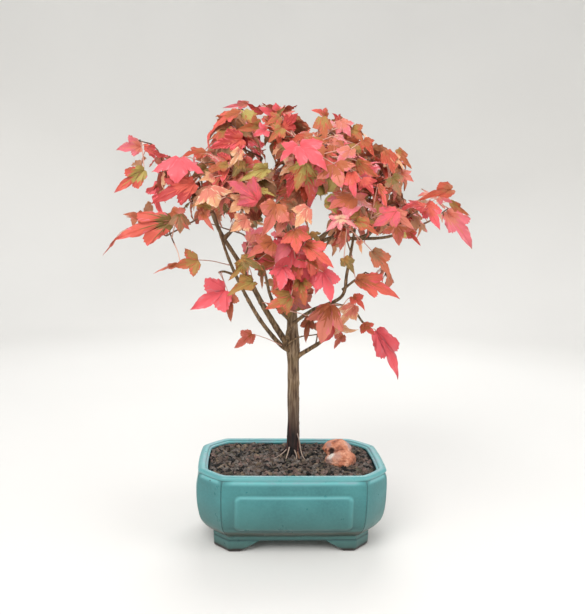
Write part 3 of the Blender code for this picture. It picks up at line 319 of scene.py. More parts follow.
# Leaves that can be told apart in the photograph: the pixel of the stalk's end, the pixel of
# the tip, how far behind the crown's front they hang, their width, their turn towards
# edge-on in degrees, and their kind.
PORTRAIT = (
    (141, 147, 116, 150, 0, 1.15, 0, "pink"), (144, 146, 168, 157, 6, 0.6, 45, "red"),
    (144, 170, 114, 193, 4, 0.62, 10, "sunset"), (180, 158, 176, 185, 0, 1.7, 0, "hot"),
    (195, 183, 151, 204, 6, 0.6, 25, "red"), (206, 153, 179, 158, 10, 0.6, 30, "ember"),
    (240, 149, 227, 169, 4, 0.5, 20, "peach"), (172, 221, 114, 240, 0, 0.52, 10, "olive_coral"),
    (152, 222, 123, 214, 8, 0.6, 30, "dusty"), (116, 238, 102, 256, 0, 0.14, 0, "salmon"),
    (179, 214, 180, 234, 14, 1.0, 0, "tan"), (203, 212, 214, 231, 10, 0.6, 20, "rose"),
    (198, 260, 174, 266, 0, 1.15, 0, "orange"), (180, 264, 153, 274, 0, 0.2, 0, "salmon"),
    (225, 290, 190, 310, 0, 0.95, 0, "hot"), (253, 282, 227, 296, 8, 0.9, 10, "ochre"),
    (228, 292, 231, 322, 12, 0.8, 10, "dusty"), (252, 334, 234, 348, 0, 1.0, 10, "rose"),
    (244, 262, 228, 281, 20, 0.55, 10, "ochre"), (241, 258, 264, 271, 16, 0.65, 10, "olive"),
    (262, 266, 262, 289, 24, 0.35, 0, "tan"),
    (248, 103, 222, 108, 0, 0.34, 10, "pink"), (264, 112, 246, 102, 4, 0.6, 40, "red"),
    (281, 116, 258, 107, 0, 0.7, 20, "hot_warm"), (272, 125, 286, 107, 10, 0.7, 20, "olive"),
    (280, 117, 266, 125, 4, 0.7, 10, "orange"), (284, 128, 298, 113, 2, 0.9, 0, "red"),
    (241, 112, 211, 134, 0, 0.5, 40, "coral"), (259, 126, 236, 130, 10, 1.0, 0, "orange"),
    (244, 111, 256, 131, 14, 0.7, 10, "ochre"), (266, 130, 253, 135, 0, 1.1, 0, "hot"),
    (242, 139, 209, 148, 4, 0.85, 10, "red"), (281, 128, 268, 143, 8, 0.8, 0, "orange"),
    (290, 145, 274, 160, 20, 0.9, 0, "rust"), (298, 146, 280, 162, 8, 0.8, 10, "hot"),
    (306, 163, 296, 192, 30, 0.9, 0, "ochre"), (268, 168, 239, 182, 30, 0.6, 10, "yellow"),
    (258, 201, 226, 181, 0, 0.8, 0, "magenta"), (259, 190, 276, 197, 16, 0.5, 0, "yellow"),
    (209, 188, 216, 208, 0, 1.6, 0, "peach"), (246, 199, 229, 212, 4, 1.1, 0, "peach"),
    (211, 208, 190, 206, 8, 0.5, 0, "ochre"), (241, 160, 233, 178, 34, 0.9, 0, "olive"),
    (228, 164, 209, 174, 20, 0.6, 0, "orange"), (206, 168, 189, 181, 24, 0.8, 0, "tan"),
    (213, 177, 199, 181, 8, 0.8, 0, "peach"), (276, 204, 261, 237, 0, 0.95, 0, "rose"),
    (290, 212, 276, 236, 10, 0.9, 0, "salmon"), (247, 219, 230, 232, 0, 1.15, 0, "peach"),
    (295, 206, 278, 199, 10, 0.8, 0, "dusty"), (273, 242, 247, 258, 10, 0.85, 10, "rose"),
    (283, 267, 280, 291, 4, 1.1, 0, "hot"), (294, 231, 297, 254, 0, 1.2, 0, "coral"),
    (308, 207, 295, 228, 0, 0.95, 0, "peach"), (326, 118, 311, 110, 4, 0.9, 0, "coral"),
    (322, 117, 325, 140, 4, 0.85, 0, "orange"), (338, 122, 332, 113, 8, 0.9, 10, "red"),
    (340, 120, 351, 137, 0, 0.9, 0, "pink"), (352, 129, 364, 143, 4, 0.9, 0, "orange"),
    (364, 140, 374, 156, 2, 1.0, 0, "ember"), (335, 136, 349, 144, 0, 0.5, 10, "pale"),
    (300, 146, 328, 172, 0, 0.95, 0, "hot"), (351, 149, 336, 166, 0, 0.95, 0, "pink"),
    (334, 164, 342, 188, 6, 1.3, 0, "salmon"), (357, 145, 347, 157, 20, 1.0, 0, "olive"),
    (357, 161, 379, 177, 6, 0.7, 0, "orange"), (352, 172, 356, 198, 0, 0.8, 10, "hot_warm"),
    (362, 179, 374, 194, 0, 0.9, 0, "red"), (385, 151, 394, 177, 4, 0.6, 10, "ember"),
    (388, 153, 404, 171, 0, 0.4, 20, "peach"), (398, 149, 412, 169, 0, 0.5, 20, "orange"),
    (392, 177, 401, 197, 0, 0.95, 0, "tan"), (401, 173, 414, 182, 6, 1.0, 10, "salmon"),
    (378, 184, 387, 208, 0, 0.5, 10, "coral"), (397, 211, 372, 227, 0, 0.85, 0, "magenta"),
    (391, 211, 414, 229, 6, 0.6, 0, "salmon"), (396, 226, 399, 246, 34, 1.3, 0, "rose"),
    (407, 229, 421, 246, 30, 0.5, 0, "coral"), (425, 207, 399, 212, 6, 0.7, 10, "red"),
    (451, 190, 418, 200, 0, 0.5, 20, "ember"), (427, 203, 440, 230, 0, 0.7, 0, "hot_warm"),
    (439, 196, 453, 203, 8, 0.7, 0, "pink"), (450, 201, 470, 216, 8, 0.5, 20, "orange"),
    (446, 212, 472, 249, 80, 0.75, 0, "pink"), (356, 221, 379, 236, 10, 0.65, 0, "orange"),
    (338, 218, 358, 230, 0, 0.6, 0, "pale"), (340, 219, 326, 232, 0, 0.75, 0, "pale"),
    (306, 246, 334, 268, 0, 0.7, 0, "coral"), (344, 258, 354, 274, 10, 1.0, 0, "olive"),
    (372, 251, 391, 281, 0, 0.75, 10, "dusty"), (356, 280, 400, 299, 0, 0.6, 10, "coral"),
    (323, 272, 331, 303, 0, 0.95, 0, "hot"), (359, 241, 362, 254, 10, 0.6, 0, "peach"),
    (309, 234, 321, 244, 16, 0.9, 0, "olive"), (291, 296, 265, 309, 0, 0.8, 0, "orange"),
    (300, 280, 306, 306, 8, 0.95, 0, "orange"), (310, 317, 306, 343, 8, 0.65, 0, "rust"),
    (331, 305, 321, 344, 0, 1.0, 0, "salmon"), (355, 305, 338, 330, 10, 0.65, 0, "peach"),
    (343, 335, 334, 349, 6, 0.8, 0, "salmon"), (353, 297, 365, 311, 8, 0.9, 0, "coral"),
    (363, 324, 375, 335, 0, 0.9, 0, "coral"), (376, 331, 398, 380, 0, 0.55, 10, "hot"),
)
# The mass that isn't grown, because one of the leaves above is all of it
SINGLE_LEAF = "leaf_left_stalk"
# The crown's front: how far it comes forward, and its half size and middle in pixels
CROWN_FRONT = 157.0
CROWN_HALF_PIXELS = (190.0, 128.0)
CROWN_CENTRE_PIXELS = (290.0, 222.0)
LONGEST_STALK = 36.0
JOINT_SLACK = 0.8
# Leaves whose long stalk shows: the stalk's end at the leaf, and its other end with its depth
LONG_STALKS = {
    (198, 260): (229, 265, -14), (252, 334): (283, 346, 13),
    (225, 290): (219, 272, -17), (228, 292): (221, 272, -17),
}

# The outline of one leaf: for each half lobe, the points of its edge from the stalk to its
# tip, on the right-hand side, as parts of the leaf's length
SINUS = (0.185, 0.50)
SIDE_TIP = (0.55, 0.42)
CENTRE_EDGE = (
    (0.0, 0.0), (0.062, 0.167), (0.123, 0.333), SINUS, (0.212, 0.575), (0.200, 0.635), (0.186, 0.705),
    (0.146, 0.752), (0.118, 0.832), (0.062, 0.905), (0.0, 1.0),
)
INNER_EDGE = (
    (0.0, 0.0), (0.062, 0.167), (0.123, 0.333), SINUS, (0.245, 0.510), (0.305, 0.528), (0.335, 0.495),
    (0.405, 0.505), (0.430, 0.465), (0.495, 0.450), SIDE_TIP,
)
OUTER_EDGE = (
    (0.0, 0.0), (0.085, -0.03), (0.200, -0.015), (0.300, 0.045), (0.365, 0.120), (0.362, 0.165),
    (0.440, 0.215), (0.440, 0.262), (0.505, 0.315), (0.505, 0.362), SIDE_TIP,
)
VEIN_SHARE, MIDDLE_SHARE = 0.08, 0.55
BLADE_THICKNESS = 0.012

# Coloured patches on the rock, and painted shade in its hollows: place, radius, colour and how much of it
# shows
ROCK_PATCHES_AND_SHADE = (
    ((41.5, -15.0, 84.5), 6.5, (172, 144, 136), 0.8),
    ((68.0, 4.0, 97.5), 8.0, (160, 138, 142), 0.8),
    ((40.5, -2.5, 100.0), 5.5, (178, 140, 136), 0.7),
    # The next two are painted shade in the rock's hollows.
    ((44.9, -6.3, 92.8), 4.8, (30, 18, 17), 0.97),
    ((39.0, -1.5, 93.5), 2.4, (66, 40, 36), 0.9),
    ((43.2, -13.8, 91.4), 5.3, (222, 214, 204), 0.95),
)

CHIP_FACES = ((0, 1, 3, 2), (4, 6, 7, 5), (0, 4, 5, 1), (2, 3, 7, 6), (0, 2, 6, 4), (1, 5, 7, 3))

# Granules: name, share of the bed, and the colours that each runs through
GRANULES = (
    ("granule_dark", 4.6, ((12, 11, 10), (22, 20, 18), (38, 34, 31))),
    ("granule_brown", 4.0, ((60, 50, 44), (86, 73, 64), (112, 96, 85))),
    ("granule_grey", 4.6, ((78, 72, 68), (104, 96, 90), (134, 124, 116))),
    ("granule_pink", 3.0, ((88, 70, 65), (114, 94, 86), (140, 119, 108))),
    ("granule_tan", 1.8, ((90, 77, 62), (120, 104, 86), (148, 130, 110))),
    ("granule_olive", 1.0, ((56, 53, 42), (76, 72, 58), (98, 93, 77))),
)

# Hollows in the rock: place, radius and depth
ROCK_HOLLOWS = (
    ((44.4, -7.0, 92.6), 5.5, 2.6),
    ((60.0, -18.0, 90.0), 5.0, 1.2),
    ((37.0, 2.0, 97.0), 5.0, 1.5),
)

# Surface roots that the photograph shows: thickness, tint, and pixels with their depths
SHOWN_ROOTS = (
    (0.85, 0, ((297.2, 433.5, 16.5), (299.2, 440.5, 14.8), (300.4, 448.0, 12.0), (302.2, 455.0, 7.0),
               (305.4, 460.4, 1.0))),
    (0.80, 0, ((289.4, 447.0, 14.5), (288.2, 452.0, 11.0), (286.4, 457.4, 5.0), (285.2, 461.5, -0.5))),
    (0.75, 0, ((294.4, 450.0, 14.0), (296.2, 454.5, 9.0), (296.8, 459.0, 4.0), (295.4, 463.6, -2.5))),
    (1.25, 1, ((297.4, 452.0, 13.0), (298.8, 457.0, 7.0), (299.8, 462.0, 0.5), (301.0, 465.5, -5.0))),
    (0.55, 0, ((286.5, 449.5, 15.0), (281.5, 454.0, 9.5), (275.0, 458.0, 4.5), (269.0, 461.5, 0.5))),
)

# Fine wood that the photograph shows at the fork: radius at both ends, and pixels with their depths
SHOWN_TWIGS = (
    (0.95, 0.6, ((284.6, 347.0, 15.0), (290.6, 341.6, 13.0), (297.0, 338.0, 12.0), (304.0, 336.0, 11.0),
                 (312.0, 335.2, 10.0), (319.0, 334.0, 8.0), (328.0, 332.0, 4.0))),
    (1.0, 0.7, ((315.4, 346.0, 3.0), (316.6, 340.0, 1.0), (317.6, 333.0, 0.5))),
    (3.0, 1.5, ((288.4, 348.4, 19.0), (284.4, 343.4, 16.0), (282.2, 337.6, 15.0))),
)

# Lamps: name, place and size in metres, and power in watts
LAMPS = (
    ("key", (-0.7, -1.2, 1.5), 1.3, 26.0),
    ("fill", (1.3, -0.7, 0.9), 1.1, 9.0),
    ("back", (0.2, 1.3, 1.4), 1.2, 14.0),
)


def to_linear(colour):
    """A colour from 0 to 255 as Blender's linear values."""
    return tuple(((c / 255 + 0.055) / 1.055) ** 2.4 if c > 10 else c / 255 / 12.92 for c in colour)


def camera_axes():
    """The camera's right, up and viewing directions."""
    right = Vector((math.cos(YAW), -math.sin(YAW), 0.0))
    ahead = Vector((math.sin(YAW) * math.cos(PITCH), math.cos(YAW) * math.cos(PITCH), -math.sin(PITCH)))
    up = right.cross(ahead)
    across = math.cos(ROLL) * right + math.sin(ROLL) * up
    upright = math.cos(ROLL) * up - math.sin(ROLL) * right
    return across, upright, ahead


AXIS_RIGHT, AXIS_UP, AXIS_AHEAD = camera_axes()


def place_of(pixel, depth):
    """The place that a pixel of the photograph shows on the upright plane y = depth."""
    ray = (AXIS_AHEAD + AXIS_RIGHT * ((pixel[0] - IMAGE_MIDDLE[0]) / FOCAL_PIXELS)
           - AXIS_UP * ((pixel[1] - IMAGE_MIDDLE[1]) / FOCAL_PIXELS))
    return CAMERA_PLACE + ray * ((depth - CAMERA_PLACE.y) / ray.y)


def pixels_of(points):
    """Where places show in the photograph, as an array of pixels, and how far off they are."""
    away = np.asarray(points, float) - np.array(CAMERA_PLACE)
    far = away @ np.array(AXIS_AHEAD)
    across = IMAGE_MIDDLE[0] + FOCAL_PIXELS * (away @ np.array(AXIS_RIGHT)) / far
    down = IMAGE_MIDDLE[1] - FOCAL_PIXELS * (away @ np.array(AXIS_UP)) / far
    return np.stack((across, down), axis=1), far


def leaves_sky(points, slack):
    """True if what shows at these places keeps to the crown's outline and out of its gaps."""
    pixels, _ = pixels_of(points)
    away = pixels - np.array(CROWN_MIDDLE)
    turn = np.degrees(np.arctan2(-away[:, 1], away[:, 0])) % 360
    step = 360 / len(CROWN_REACH)
    reach = np.interp(turn, np.arange(len(CROWN_REACH) + 1) * step, CROWN_REACH + CROWN_REACH[:1])
    if (np.hypot(away[:, 0], away[:, 1]) > reach + slack).any():
        return False
    for u, v, radius in SKY:
        if (np.hypot(pixels[:, 0] - u, pixels[:, 1] - v) < radius - slack).any():
            return False
    return True


def crown_front(pixel):
    """Depth of the crown's front where a pixel shows it."""
    across = (pixel[0] - CROWN_CENTRE_PIXELS[0]) / CROWN_HALF_PIXELS[0]
    down = (pixel[1] - CROWN_CENTRE_PIXELS[1]) / CROWN_HALF_PIXELS[1]
    return 8.0 - CROWN_FRONT * math.sqrt(max(0.0, 1.0 - across * across - down * down))


def level_on(wall, z):
    """Offset of a wall at height z."""
    for (z0, offset0), (z1, offset1) in zip(wall, wall[1:]):
        if z0 <= z <= z1:
            return offset0 + (offset1 - offset0) * (z - z0) / (z1 - z0)
    return wall[0][1] if z < wall[0][0] else wall[-1][1]


def smooth_line(points, step):
    """Points about a step apart on a smooth curve through the given points."""
    knots = [Vector(point) for point in points]
    ends = [2 * knots[0] - knots[1]] + knots + [2 * knots[-1] - knots[-2]]
    line = []
    for before, start, end, after in zip(ends, ends[1:], ends[2:], ends[3:]):
        pieces = max(1, round((end - start).length / step))
        for k in range(pieces):
            t = k / pieces
            line.append(0.5 * (2 * start + (end - before) * t
                               + (2 * before - 5 * start + 4 * end - after) * t ** 2
                               + (3 * start - before - 3 * end + after) * t ** 3))
    line.append(knots[-1])
    return line


def fractions(line):
    """How far along the line each of its points is, from 0 to 1."""
    lengths = [0.0]
    for start, end in zip(line, line[1:]):
        lengths.append(lengths[-1] + (end - start).length)
    return [length / lengths[-1] for length in lengths]


def between(table, t):
    """A value read from (place, value) pairs."""
    for (t0, value0), (t1, value1) in zip(table, table[1:]):
        if t <= t1:
            return value0 + (value1 - value0) * (t - t0) / (t1 - t0)
    return table[-1][1]


class Limb:
    """A tapering limb: its line, its radius at each point, and a finer line for its skin."""

    def __init__(self, line, radii, fine=None):
        self.line = line
        self.radii = radii
        self.marks = fractions(line)
        self.fine = fine

    def place(self, t):
        """Point, direction and radius at a fraction of the length."""
        for i in range(len(self.line) - 1):
            if t <= self.marks[i + 1] or i == len(self.line) - 2:
                start, end = self.line[i], self.line[i + 1]
                share = (t - self.marks[i]) / (self.marks[i + 1] - self.marks[i])
                radius = self.radii[i] + (self.radii[i + 1] - self.radii[i]) * share
                return start.lerp(end, share), (end - start).normalized(), radius
        return None


def grow_limbs():
    """The trunk and every bough by name, in the order in which they branch."""
    line = smooth_line(TRUNK_LINE, TRUNK_STEP)
    foot = [line[0] + (line[1] - line[0]) * part for part in FOOT_MARKS]
    line = foot + line[1:]
    radii = [between(TRUNK_RADII, mark) for mark in fractions(line)]
    limbs = {"trunk": Limb(line, radii, smooth_line(TRUNK_LINE, FINE_TRUNK_STEP))}
    for name, parent, start, places, thick, thin in BOUGHS:
        point, ahead, _ = limbs[parent].place(start)
        if start == 1.0:
            point = point + ahead * GAP
        knots = [point] + list(places)
        line = smooth_line(knots, BOUGH_STEP)
        radii = [thick + (thin - thick) * mark ** 0.8 for mark in fractions(line)]
        limbs[name] = Limb(line, radii, smooth_line(knots, FINE_BOUGH_STEP))
    return limbs


def nearest_on_segments(p0, p1, q0, q1):
    """The closest pair of points of two straight stretches."""
    u, v, w = p1 - p0, q1 - q0, p0 - q0
    a, b, c, d, e = u.dot(u), u.dot(v), v.dot(v), u.dot(w), v.dot(w)
    down = a * c - b * b
    s = min(1.0, max(0.0, (b * e - c * d) / down)) if down > 1e-9 else 0.0
    t = min(1.0, max(0.0, (b * s + e) / c))
    s = min(1.0, max(0.0, (b * t - d) / a))
    return p0 + u * s, q0 + v * t


class Mass:
    """A mass of leaves: where its stem starts, its spine and its space."""

    def __init__(self, row, limbs):
        self.name, self.limb, start, tips, self.leaves, self.width = row
        self.tips = [Vector(tip) for tip in tips]
        point, ahead, radius = limbs[self.limb].place(start)
        if start == 1.0:
            self.foot = point + ahead * GAP
            self.ahead = ahead
        else:
            out = self.tips[0] - point
            out = (out - ahead * out.dot(ahead)).normalized()
            self.foot = point + out * (radius + GAP)
            self.ahead = out
        self.radius = min(STEM_RADII[0], radius) if start == 1.0 else STEM_RADII[0]
        middle = sum(self.tips, Vector()) / len(self.tips)
        self.end = self.foot.lerp(middle, SPINE_SHARE)
        self.walls = []

    def inside(self, points, margin=SPACE_MARGIN):
        """True if all points keep to the space and to the crown's box."""
        for normal, level in self.walls:
            if max(normal.dot(point) for point in points) > level - margin:
                return False
        return all(low <= point[i] <= high for point in points for i, (low, high) in enumerate(CROWN_BOX))


def share_space(masses):
    """Flat walls that part each mass from each other, so that every space is convex."""
    for i, one in enumerate(masses):
        for other in masses[i + 1:]:
            best = None
            for skip in (0.3, 0.0):
                p, q = nearest_on_segments(one.foot.lerp(one.end, skip), one.end,
                                           other.foot.lerp(other.end, skip), other.end)
                apart = q - p
                normal = apart.normalized()
                share = one.width / (one.width + other.width)
                level = normal.dot(p + apart * share)
                slack = min(level - max(normal.dot(one.foot), normal.dot(one.end)),
                            min(normal.dot(other.foot), normal.dot(other.end)) - level)
                if best is None or slack > best[0]:
                    best = (slack, normal, level)
                if slack > 2.5:
                    break
            _, normal, level = best
            one.walls.append((normal, level))
            other.walls.append((-normal, -level))


def leaf_frame(base, ahead, facing_way):
    """Axes of a leaf at its stalk: across, along and out of the blade."""
    along = ahead.normalized()
    out = (facing_way - along * facing_way.dot(along)).normalized()
    across = along.cross(out)
    turned = Matrix((across, along, out)).transposed().to_4x4()
    return Matrix.Translation(base) @ turned


def leaf_points(placed, length):
    """The plain outline of a leaf, and the middle of its blade last."""
    right = [Vector(point) for point in LEAF_HALF]
    left = [Vector((-x, y, z)) for x, y, z in reversed(LEAF_HALF[1:-1])]
    middle = Vector((0.0, LEAF_MIDDLE, 0.0))
    return [placed @ (point * length) for point in right + left + [middle]]


def blade_samples(points):
    """Points spread over a blade, for measuring what it comes near."""
    rim, middle = points[:-1], points[-1]
    found = [middle]
    for i, point in enumerate(rim):
        after = rim[(i + 1) % len(rim)]
        for share in (0.33, 0.66, 1.0):
            found.append(middle.lerp(point, share))
            found.append(middle.lerp(point.lerp(after, 0.5), share))
    return np.array(found)


def line_samples(start, end, step=2.5):
    """Points about a step apart on a straight line."""
    count = max(2, int((end - start).length / step) + 1)
    return np.array([start.lerp(end, k / (count - 1)) for k in range(count)])


def least_distance(samples, spots, thickness):
    """Least distance from sample points to round spots."""
    if len(spots) == 0:
        return 1e9
    apart = np.linalg.norm(samples[:, None, :] - spots[None, :, :], axis=2)
    return float((apart - thickness[None, :]).min())


def limb_spots(limbs):
    """Closely spaced points on every limb with the radius there, and the limb's name."""
    spots, thickness, names = [], [], []
    for name, limb in limbs.items():
        count = max(8, int(sum((b - a).length for a, b in zip(limb.line, limb.line[1:])) / 2.0))
        for k in range(count + 1):
            point, _, radius = limb.place(k / count)
            spots.append(point)
            thickness.append(radius)
            names.append(name)
    return np.array(spots), np.array(thickness), np.array(names)


class Leaf:
    """One leaf: its stalk's two ends, its tip, which way it faces, and its looks."""

    def __init__(self, joint, base, tip, out, kind, width=1.0):
        self.joint, self.base, self.tip, self.out = joint, base, tip, out
        self.kind, self.width = kind, width


def grow_mass(mass, spots):
    """Twigs and leaves of a mass, by the source's rule and then by a finer one."""
    rng = random.Random(mass.name)
    places, thickness, names = spots
    away = names != mass.limb
    foreign = (places[away], thickness[away])
    close = np.linalg.norm(places - np.array(mass.foot), axis=1) < 260.0
    every = (places[close], thickness[close])
    span = (mass.end - mass.foot).length
    bend = mass.foot + mass.ahead * min(14.0, 0.3 * span)
    stem = smooth_line([mass.foot, bend, mass.end], max(12.0, span / 4))
    if not mass.inside(stem[1:]):
        stem = [mass.foot, mass.end]
    wood = [(stem, mass.radius, STEM_RADII[1])]
    nodes = list(stem[1:])
    leaves = []
    taken = np.zeros((0, 3))

    def try_leaf(tip, size, clearance=LEAF_CLEARANCE):
        """Add a leaf whose tip is at the given place, where it fits."""
        nonlocal taken
        near = min(nodes, key=lambda node: (node - tip).length)
        out = (tip - near).normalized()
        centre = (tip - Vector(CROWN_HEART)).normalized()
        droop = Vector((0.0, 0.0, -rng.uniform(0.25, 0.8)))
        side = Vector([rng.uniform(-0.35, 0.35) for _ in range(3)])
        ahead = (out + droop + side).normalized()
        face = Vector((0.0, 0.0, 0.75)) + centre + side
        turned = leaf_frame(Vector(), ahead, face)
        base = tip - turned @ (Vector(LEAF_HALF[-1]) * size)
        near = min(nodes, key=lambda node: (node - base).length)
        placed = Matrix.Translation(base) @ turned
        points = leaf_points(placed, size)
        samples = blade_samples(points)
        if not mass.inside(points) or least_distance(samples, *every) < LIMB_CLEARANCE:
            return False
        if len(taken) and least_distance(samples, taken, np.zeros(len(taken))) < clearance:
            return False
        sunk = base.lerp(points[-1], STALK_SUNK / LEAF_MIDDLE)
        stalk = (sunk - near).length
        longest = STALK_LENGTH[1]
        twig = None
        if stalk > longest:
            elbow = near.lerp(base, (stalk - rng.uniform(*STALK_LENGTH)) / stalk)
            elbow += Vector((0.0, 0.0, 2.5))
            if not mass.inside([elbow], 1.5):
                return False
            if least_distance(line_samples(near, elbow), *foreign) < TWIG_RADII[0] + 1.0:
                return False
            twig = [near, elbow]
            near = elbow
        if least_distance(line_samples(near, sunk)[1:], *foreign) < STALK_RADII[0] + 1.0:
            return False
        if twig:
            wood.append((twig, *TWIG_RADII))
            nodes.append(near)
            nodes.append(twig[0].lerp(near, 0.5))
        leaves.append(Leaf(near, base, tip, turned.col[2].to_3d(), None))
        taken = np.vstack((taken, samples))
        return True

    def fill(wanted, tries, length, clearance=LEAF_CLEARANCE):
        """Leaves at random places round the spine until there are as many as wanted."""
        for _ in range(tries):
            if len(leaves) >= wanted:
                break
            way = Vector([rng.gauss(0.0, 1.0) for _ in range(3)]).normalized()
            along = mass.foot.lerp(mass.tips[0], rng.uniform(0.25, 0.85))
            tip = along + way * mass.width * rng.uniform(0.6, 1.35)
            if (tip - mass.foot).length < reach + 10.0:
                try_leaf(tip, rng.uniform(*length), clearance)

    for tip in mass.tips:
        for _ in range(TIP_TRIES):
            if try_leaf(tip, rng.uniform(*LEAF_LENGTH)):
                break
    reach = max((tip - mass.foot).length for tip in mass.tips)
    fill(len(leaves) + mass.leaves, FILL_TRIES, LEAF_LENGTH)
    fill(len(leaves) + round(MORE_LEAVES * mass.leaves), MORE_TRIES, MORE_LENGTH, MORE_CLEARANCE)
    return wood, leaves, nodes


def portrait_leaves(rng):
    """The leaves that can be told apart in the photograph, at their places in the crown."""
    found = []
    for base_u, base_v, tip_u, tip_v, behind, width, turn, kind in PORTRAIT:
        middle = (0.5 * (base_u + tip_u), 0.5 * (base_v + tip_v))
        depth = crown_front(middle) + behind
        base = place_of((base_u, base_v), depth + PORTRAIT_LEAN)
        tip = place_of((tip_u, tip_v), depth - PORTRAIT_LEAN)
        across = tip - base
        facing = (CAMERA_PLACE - base).normalized()
        facing += Vector((rng.uniform(-0.3, 0.3), 0.0, rng.uniform(0.0, 0.5)))
        out = (facing - across * facing.dot(across) / across.length_squared).normalized()
        way = rng.choice((-1, 1))
        out = Matrix.Rotation(math.radians(turn * way), 3, across.normalized()) @ out
        leaf = Leaf(None, base, tip, out, kind, width)
        if (base_u, base_v) in LONG_STALKS:
            *pixel, far = LONG_STALKS[base_u, base_v]
            leaf.joint = place_of(pixel, far)
        found.append(leaf)
    return found


def join_to_wood(leaf, nodes, rng, wood):
    """Give a leaf a stalk from the nearest wood, with a twig towards it where that is far."""
    near = min(nodes, key=lambda node: (node - leaf.base).length)
    away = leaf.base - near
    if away.length > LONGEST_STALK:
        elbow = near + away * (1.0 - rng.uniform(18.0, 28.0) / away.length)
        arch = Vector((rng.uniform(-3, 3), rng.uniform(0, 4), 0.06 * away.length))
        line = smooth_line([near, near.lerp(elbow, 0.5) + arch, elbow], 9.0)
        wood.append((line, *TWIG_RADII))
        nodes.extend(line[1:])
        near = elbow
    leaf.joint = near


def used_wood(wood, joints):
    """The wood that leads to a leaf, each piece cut off past the last thing that it carries.

    Every piece starts on a limb or on an earlier piece, so one pass from the last to the
    first finds all that is needed.
    """
    joints = [np.array(joint) for joint in joints]
    kept = []
    for line, thick, thin, mass in reversed(wood):
        points = np.array(line)
        steps = np.diff(points, axis=0)
        lengths = np.linalg.norm(steps, axis=1)
        marks = np.concatenate(([0.0], np.cumsum(lengths)))
        places = np.array(joints)
        share = ((places[:, None, :] - points[None, :-1, :]) * steps[None]).sum(axis=2) / (lengths ** 2)
        share = np.clip(share, 0.0, 1.0)
        nearest = points[None, :-1, :] + steps[None] * share[:, :, None]
        away = np.linalg.norm(places[:, None, :] - nearest, axis=2)
        along = np.where(away < JOINT_SLACK, marks[None, :-1] + lengths[None] * share, -1.0)
        last = along.max()
        if last < JOINT_SLACK:
            continue
        cut = [point for point, mark in zip(line, marks) if mark < last - JOINT_SLACK]
        i = min(int(np.searchsorted(marks, last, side="right")) - 1, len(steps) - 1)
        cut.append(line[i] + (line[i + 1] - line[i]) * float((last - marks[i]) / lengths[i]))
        kept.append((cut, thick, thick + (thin - thick) * last / marks[-1], mass))
        joints.append(points[0])
    return kept[::-1]


def template():
    """A flat leaf as points, the triangles of both sides, and each triangle's part.

    A point is across, along, height of the side and share of the way to the margin. Parts
    of the upper side are 0 for the veins, 1 for the blade and 2 for the margin, and the
    underside is 3.
    """
    straight = [(0.0, k / 10) for k in range(11)]
    slant = [(SIDE_TIP[0] * k / 10, SIDE_TIP[1] * k / 10) for k in range(11)]
    points, faces, parts = [], [], []
    for mirrored in (1, -1):
        for vein, edge in ((straight, CENTRE_EDGE), (slant, INNER_EDGE), (slant, OUTER_EDGE)):
            turned = (edge is OUTER_EDGE) == (mirrored == 1)
            for side, shares in ((1, (0.0, VEIN_SHARE, MIDDLE_SHARE, 1.0)), (-1, (0.0, MIDDLE_SHARE, 1.0))):
                first = len(points)
                rows = len(shares)
                for (x0, y0), (x1, y1) in zip(vein, edge):
                    for share in shares:
                        x = (x0 + (x1 - x0) * share) * mirrored
                        y = y0 + (y1 - y0) * share
                        thick = side * BLADE_THICKNESS * (1.0 - share) * (0.35 + 0.65 * (share < 0.01))
                        points.append((x, y, thick, share))
                for k in range(10):
                    for j in range(rows - 1):
                        a = first + k * rows + j
                        b, c, d = a + 1, a + rows + 1, a + rows
                        quad = [(a, b, c), (a, c, d)]
                        if k == 0:
                            quad = [(a, c, d)]
                        if k == 9:
                            quad = [(a, b, d)]
                        for face in quad:
                            flip = turned == (side == 1)
                            faces.append(face[::-1] if flip else face)
                            parts.append((0 if j == 0 else 1 if j == 1 else 2) if side == 1 else 3)
    return np.array(points), np.array(faces), np.array(parts)


LEAF_POINTS, LEAF_FACES, LEAF_PARTS = template()


